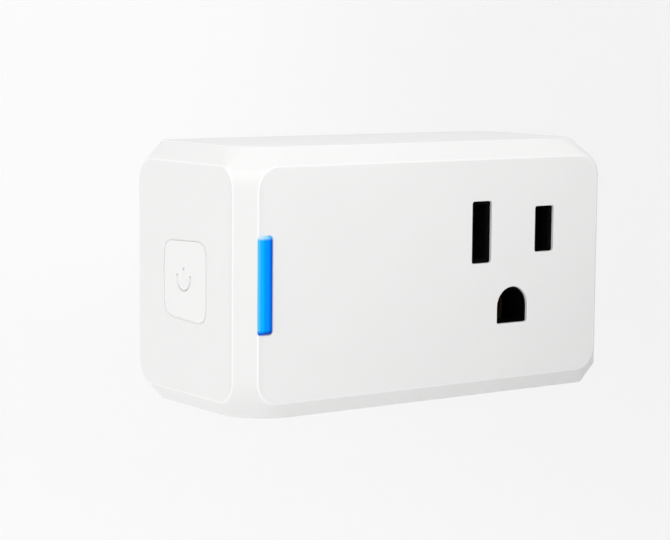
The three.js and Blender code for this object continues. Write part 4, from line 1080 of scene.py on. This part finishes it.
def fuse_resistor():
    """A rounded body with a waist, standing on one lead."""
    x, z, foot, top, radius = upright("fuse_resistor")
    edge, waist, lead_radius, waist_start, waist_height = 0.4, 0.35, 0.35, 2.6, 4.6
    profile = [(0, foot), (lead_radius, foot), (lead_radius, foot - 1.1)]
    profile += arc(radius - edge, foot - 1.5, edge, QUARTER, 0, 5)
    for i in range(1, 12):
        inward = waist * math.sin(math.pi * i / 12) ** 0.5
        profile.append((radius - inward, foot - waist_start - waist_height * i / 12))
    profile += arc(radius - edge, top + edge, edge, 0, -QUARTER, 5) + [(0, top)]
    mesh = turned(profile, x, z)
    return make_piece("fuse_resistor_body", mesh, "housing", "resistor_green", ["fuse_resistor"])


EDGE_WIDTHS = {
    "board_green": 0.06,
    "board_blue": 0.06,
    "shield_tin": 0.12,
    "contact_brass": 0.08,
    "relay_black": 0.2,
    "film_yellow": 0.35,
}


def finish_cad_nodes():
    """Gives every CAD node that is still shown its finish and rounded edges."""
    for row in frame["record"]["subparts"]:
        node = frame["nodes"][row["node"]]
        if node.hide_render:
            continue
        name = row["material_slot"]
        for place in node.material_slots:
            place.material = FINISHES[name]
        soften(node, EDGE_WIDTHS.get(name, 0.1), clean=True)


front_cover()
rear_cover()
side_button()
light_bar()
outlet_carrier()
for blade in ("neutral_blade", "line_blade"):
    flat_blade(blade)
ground_pin()
for number in range(1, 5):
    screw(f"cover_screw_{number}")
for number in (1, 2):
    screw(f"board_screw_{number}")
    can_capacitor(f"bulk_capacitor_{number}")
wound("filter_choke", "choke_coil", "copper_wire", 0.9, 0.12)
wound("relay_coil", "relay_coil_wire", "copper_wire", 0, 0.09, 2.6)
varistor()
fuse_resistor()
finish_cad_nodes()

# ---------------------------------------------------------------- studio

FLOOR_Z = -0.16  # these four are in metres
FLOOR_RADIUS = 1.6
COVE_RADIUS = 0.7
COVE_WALL = 0.5
CAMERA_RIGHT = (0.81, -0.58, 0)
CAMERA_PLACE = (-209.389, -276.292, 30.190)
CAMERA_TURN = (35.606, 6.512, 0.4545)  # yaw, downward pitch and roll, in degrees
CAMERA_LENS = 110.908
LIGHTS = [  # name, direction from the case, distance and size in metres, and power
    ("front_light", (0, -1, 0.15), 0.6, 0.5, 0.389),
    ("left_top_light", (-1, -0.3, 0.8), 0.5, 0.4, 0.376),
    ("near_light", (-0.3, -0.9, 1.2), 0.2, 0.12, 0.062),
    ("left_light", (-1, -0.15, 0.15), 0.5, 0.4, 0.028),
]
SKY_STRENGTH = 0.786


def floor_white():
    """A white that glows a little, and less so towards the right of the camera."""
    look = dict(grain=30, depth=0.01, variation=0.002, Emission_Color=(1, 1, 1, 1))
    nodes = moulded_nodes("floor_white", (0.93, 0.93, 0.93), 0.9, **look)
    across = nodes.along(CAMERA_RIGHT)
    glow = nodes.spread(across, 0.172, 0.106, (-0.3, 0.3), easing="SMOOTHSTEP")
    nodes.vary("Emission Strength", glow)
    return nodes.material


def studio_floor():
    """A pale floor that curves up into a low wall all round."""
    profile = [(0.02, FLOOR_Z)] + [(FLOOR_RADIUS * i / 6, FLOOR_Z) for i in range(1, 7)]
    for i in range(1, 17):
        turn = QUARTER * i / 16
        rise = COVE_RADIUS * (1 - math.cos(turn))
        profile.append((FLOOR_RADIUS + COVE_RADIUS * math.sin(turn), FLOOR_Z + rise))
    profile.append((FLOOR_RADIUS + COVE_RADIUS, FLOOR_Z + COVE_RADIUS + COVE_WALL))
    shape = bmesh.new()
    rings = [[shape.verts.new((*point, z)) for point in circle(r, steps=96)] for r, z in profile]
    shape.faces.new(rings[0])
    skin(shape, rings)
    for face in shape.faces:
        face.smooth = True
    mesh = bpy.data.meshes.new("studio_floor")
    shape.to_mesh(mesh)
    shape.free()
    mesh.materials.append(floor_white())
    floor = add_object("studio_floor", mesh)


def area_light(name, direction, distance, size, power):
    """A round light that shines at the case's centre from a direction."""
    data = bpy.data.lights.new(name, "AREA")
    data.shape = "DISK"
    data.size = size
    data.energy = power
    light = add_object(name, data)
    away = Vector(direction).normalized()
    light.location = CASE_CENTRE * MM + away * distance
    light.rotation_mode = "QUATERNION"
    light.rotation_quaternion = away.to_track_quat("Z", "Y")
    light.visible_camera = False


def shade_card(place, size):
    """A dark card, unseen by the camera, that shades the lower right of the front."""
    half = size / 2
    corners = [(-half, -half, 0), (half, -half, 0), (half, half, 0), (-half, half, 0)]
    mesh = bpy.data.meshes.new("shade_card")
    mesh.from_pydata(corners, [], [(0, 1, 2, 3)])
    black = moulded("card_black", (0.01, 0.01, 0.01), 0.9, grain=5, depth=0.01, variation=0.1)
    mesh.materials.append(black)
    card = add_object("shade_card", mesh)
    card.location = place
    card.rotation_mode = "QUATERNION"
    towards_front = Vector((0, CASE_LOW.y, CASE_CENTRE.z)) * MM - card.location
    card.rotation_quaternion = towards_front.to_track_quat("Z", "Y")
    card.visible_camera = False
    card.visible_glossy = False


def studio_light():
    world = bpy.data.worlds.new("studio")
    bpy.context.scene.world = world
    world.use_nodes = True
    background = world.node_tree.nodes["Background"]
    background.inputs["Color"].default_value = (1, 1, 1, 1)
    background.inputs["Strength"].default_value = SKY_STRENGTH
    for light in LIGHTS:
        area_light(*light)
    shade_card((0.07, -0.092, -0.066), 0.12)


def camera():
    data = bpy.data.cameras.new("camera")
    data.sensor_width = 36
    data.lens = CAMERA_LENS
    yaw, pitch, roll = (math.radians(angle) for angle in CAMERA_TURN)
    ahead = math.cos(pitch)
    forward = Vector((math.sin(yaw) * ahead, math.cos(yaw) * ahead, -math.sin(pitch)))
    right = Vector((math.cos(yaw), -math.sin(yaw), 0))
    up = right.cross(forward)
    rolled_right = right * math.cos(roll) + up * math.sin(roll)
    rolled_up = up * math.cos(roll) - right * math.sin(roll)
    turn = Matrix((rolled_right, rolled_up, -forward)).transposed()
    view = add_object("camera", data)
    view.matrix_world = Matrix.Translation(Vector(CAMERA_PLACE) * MM) @ turn.to_4x4()
    bpy.context.scene.camera = view


studio_floor()
studio_light()
camera()
bpy.context.scene.view_settings.view_transform = "Standard"
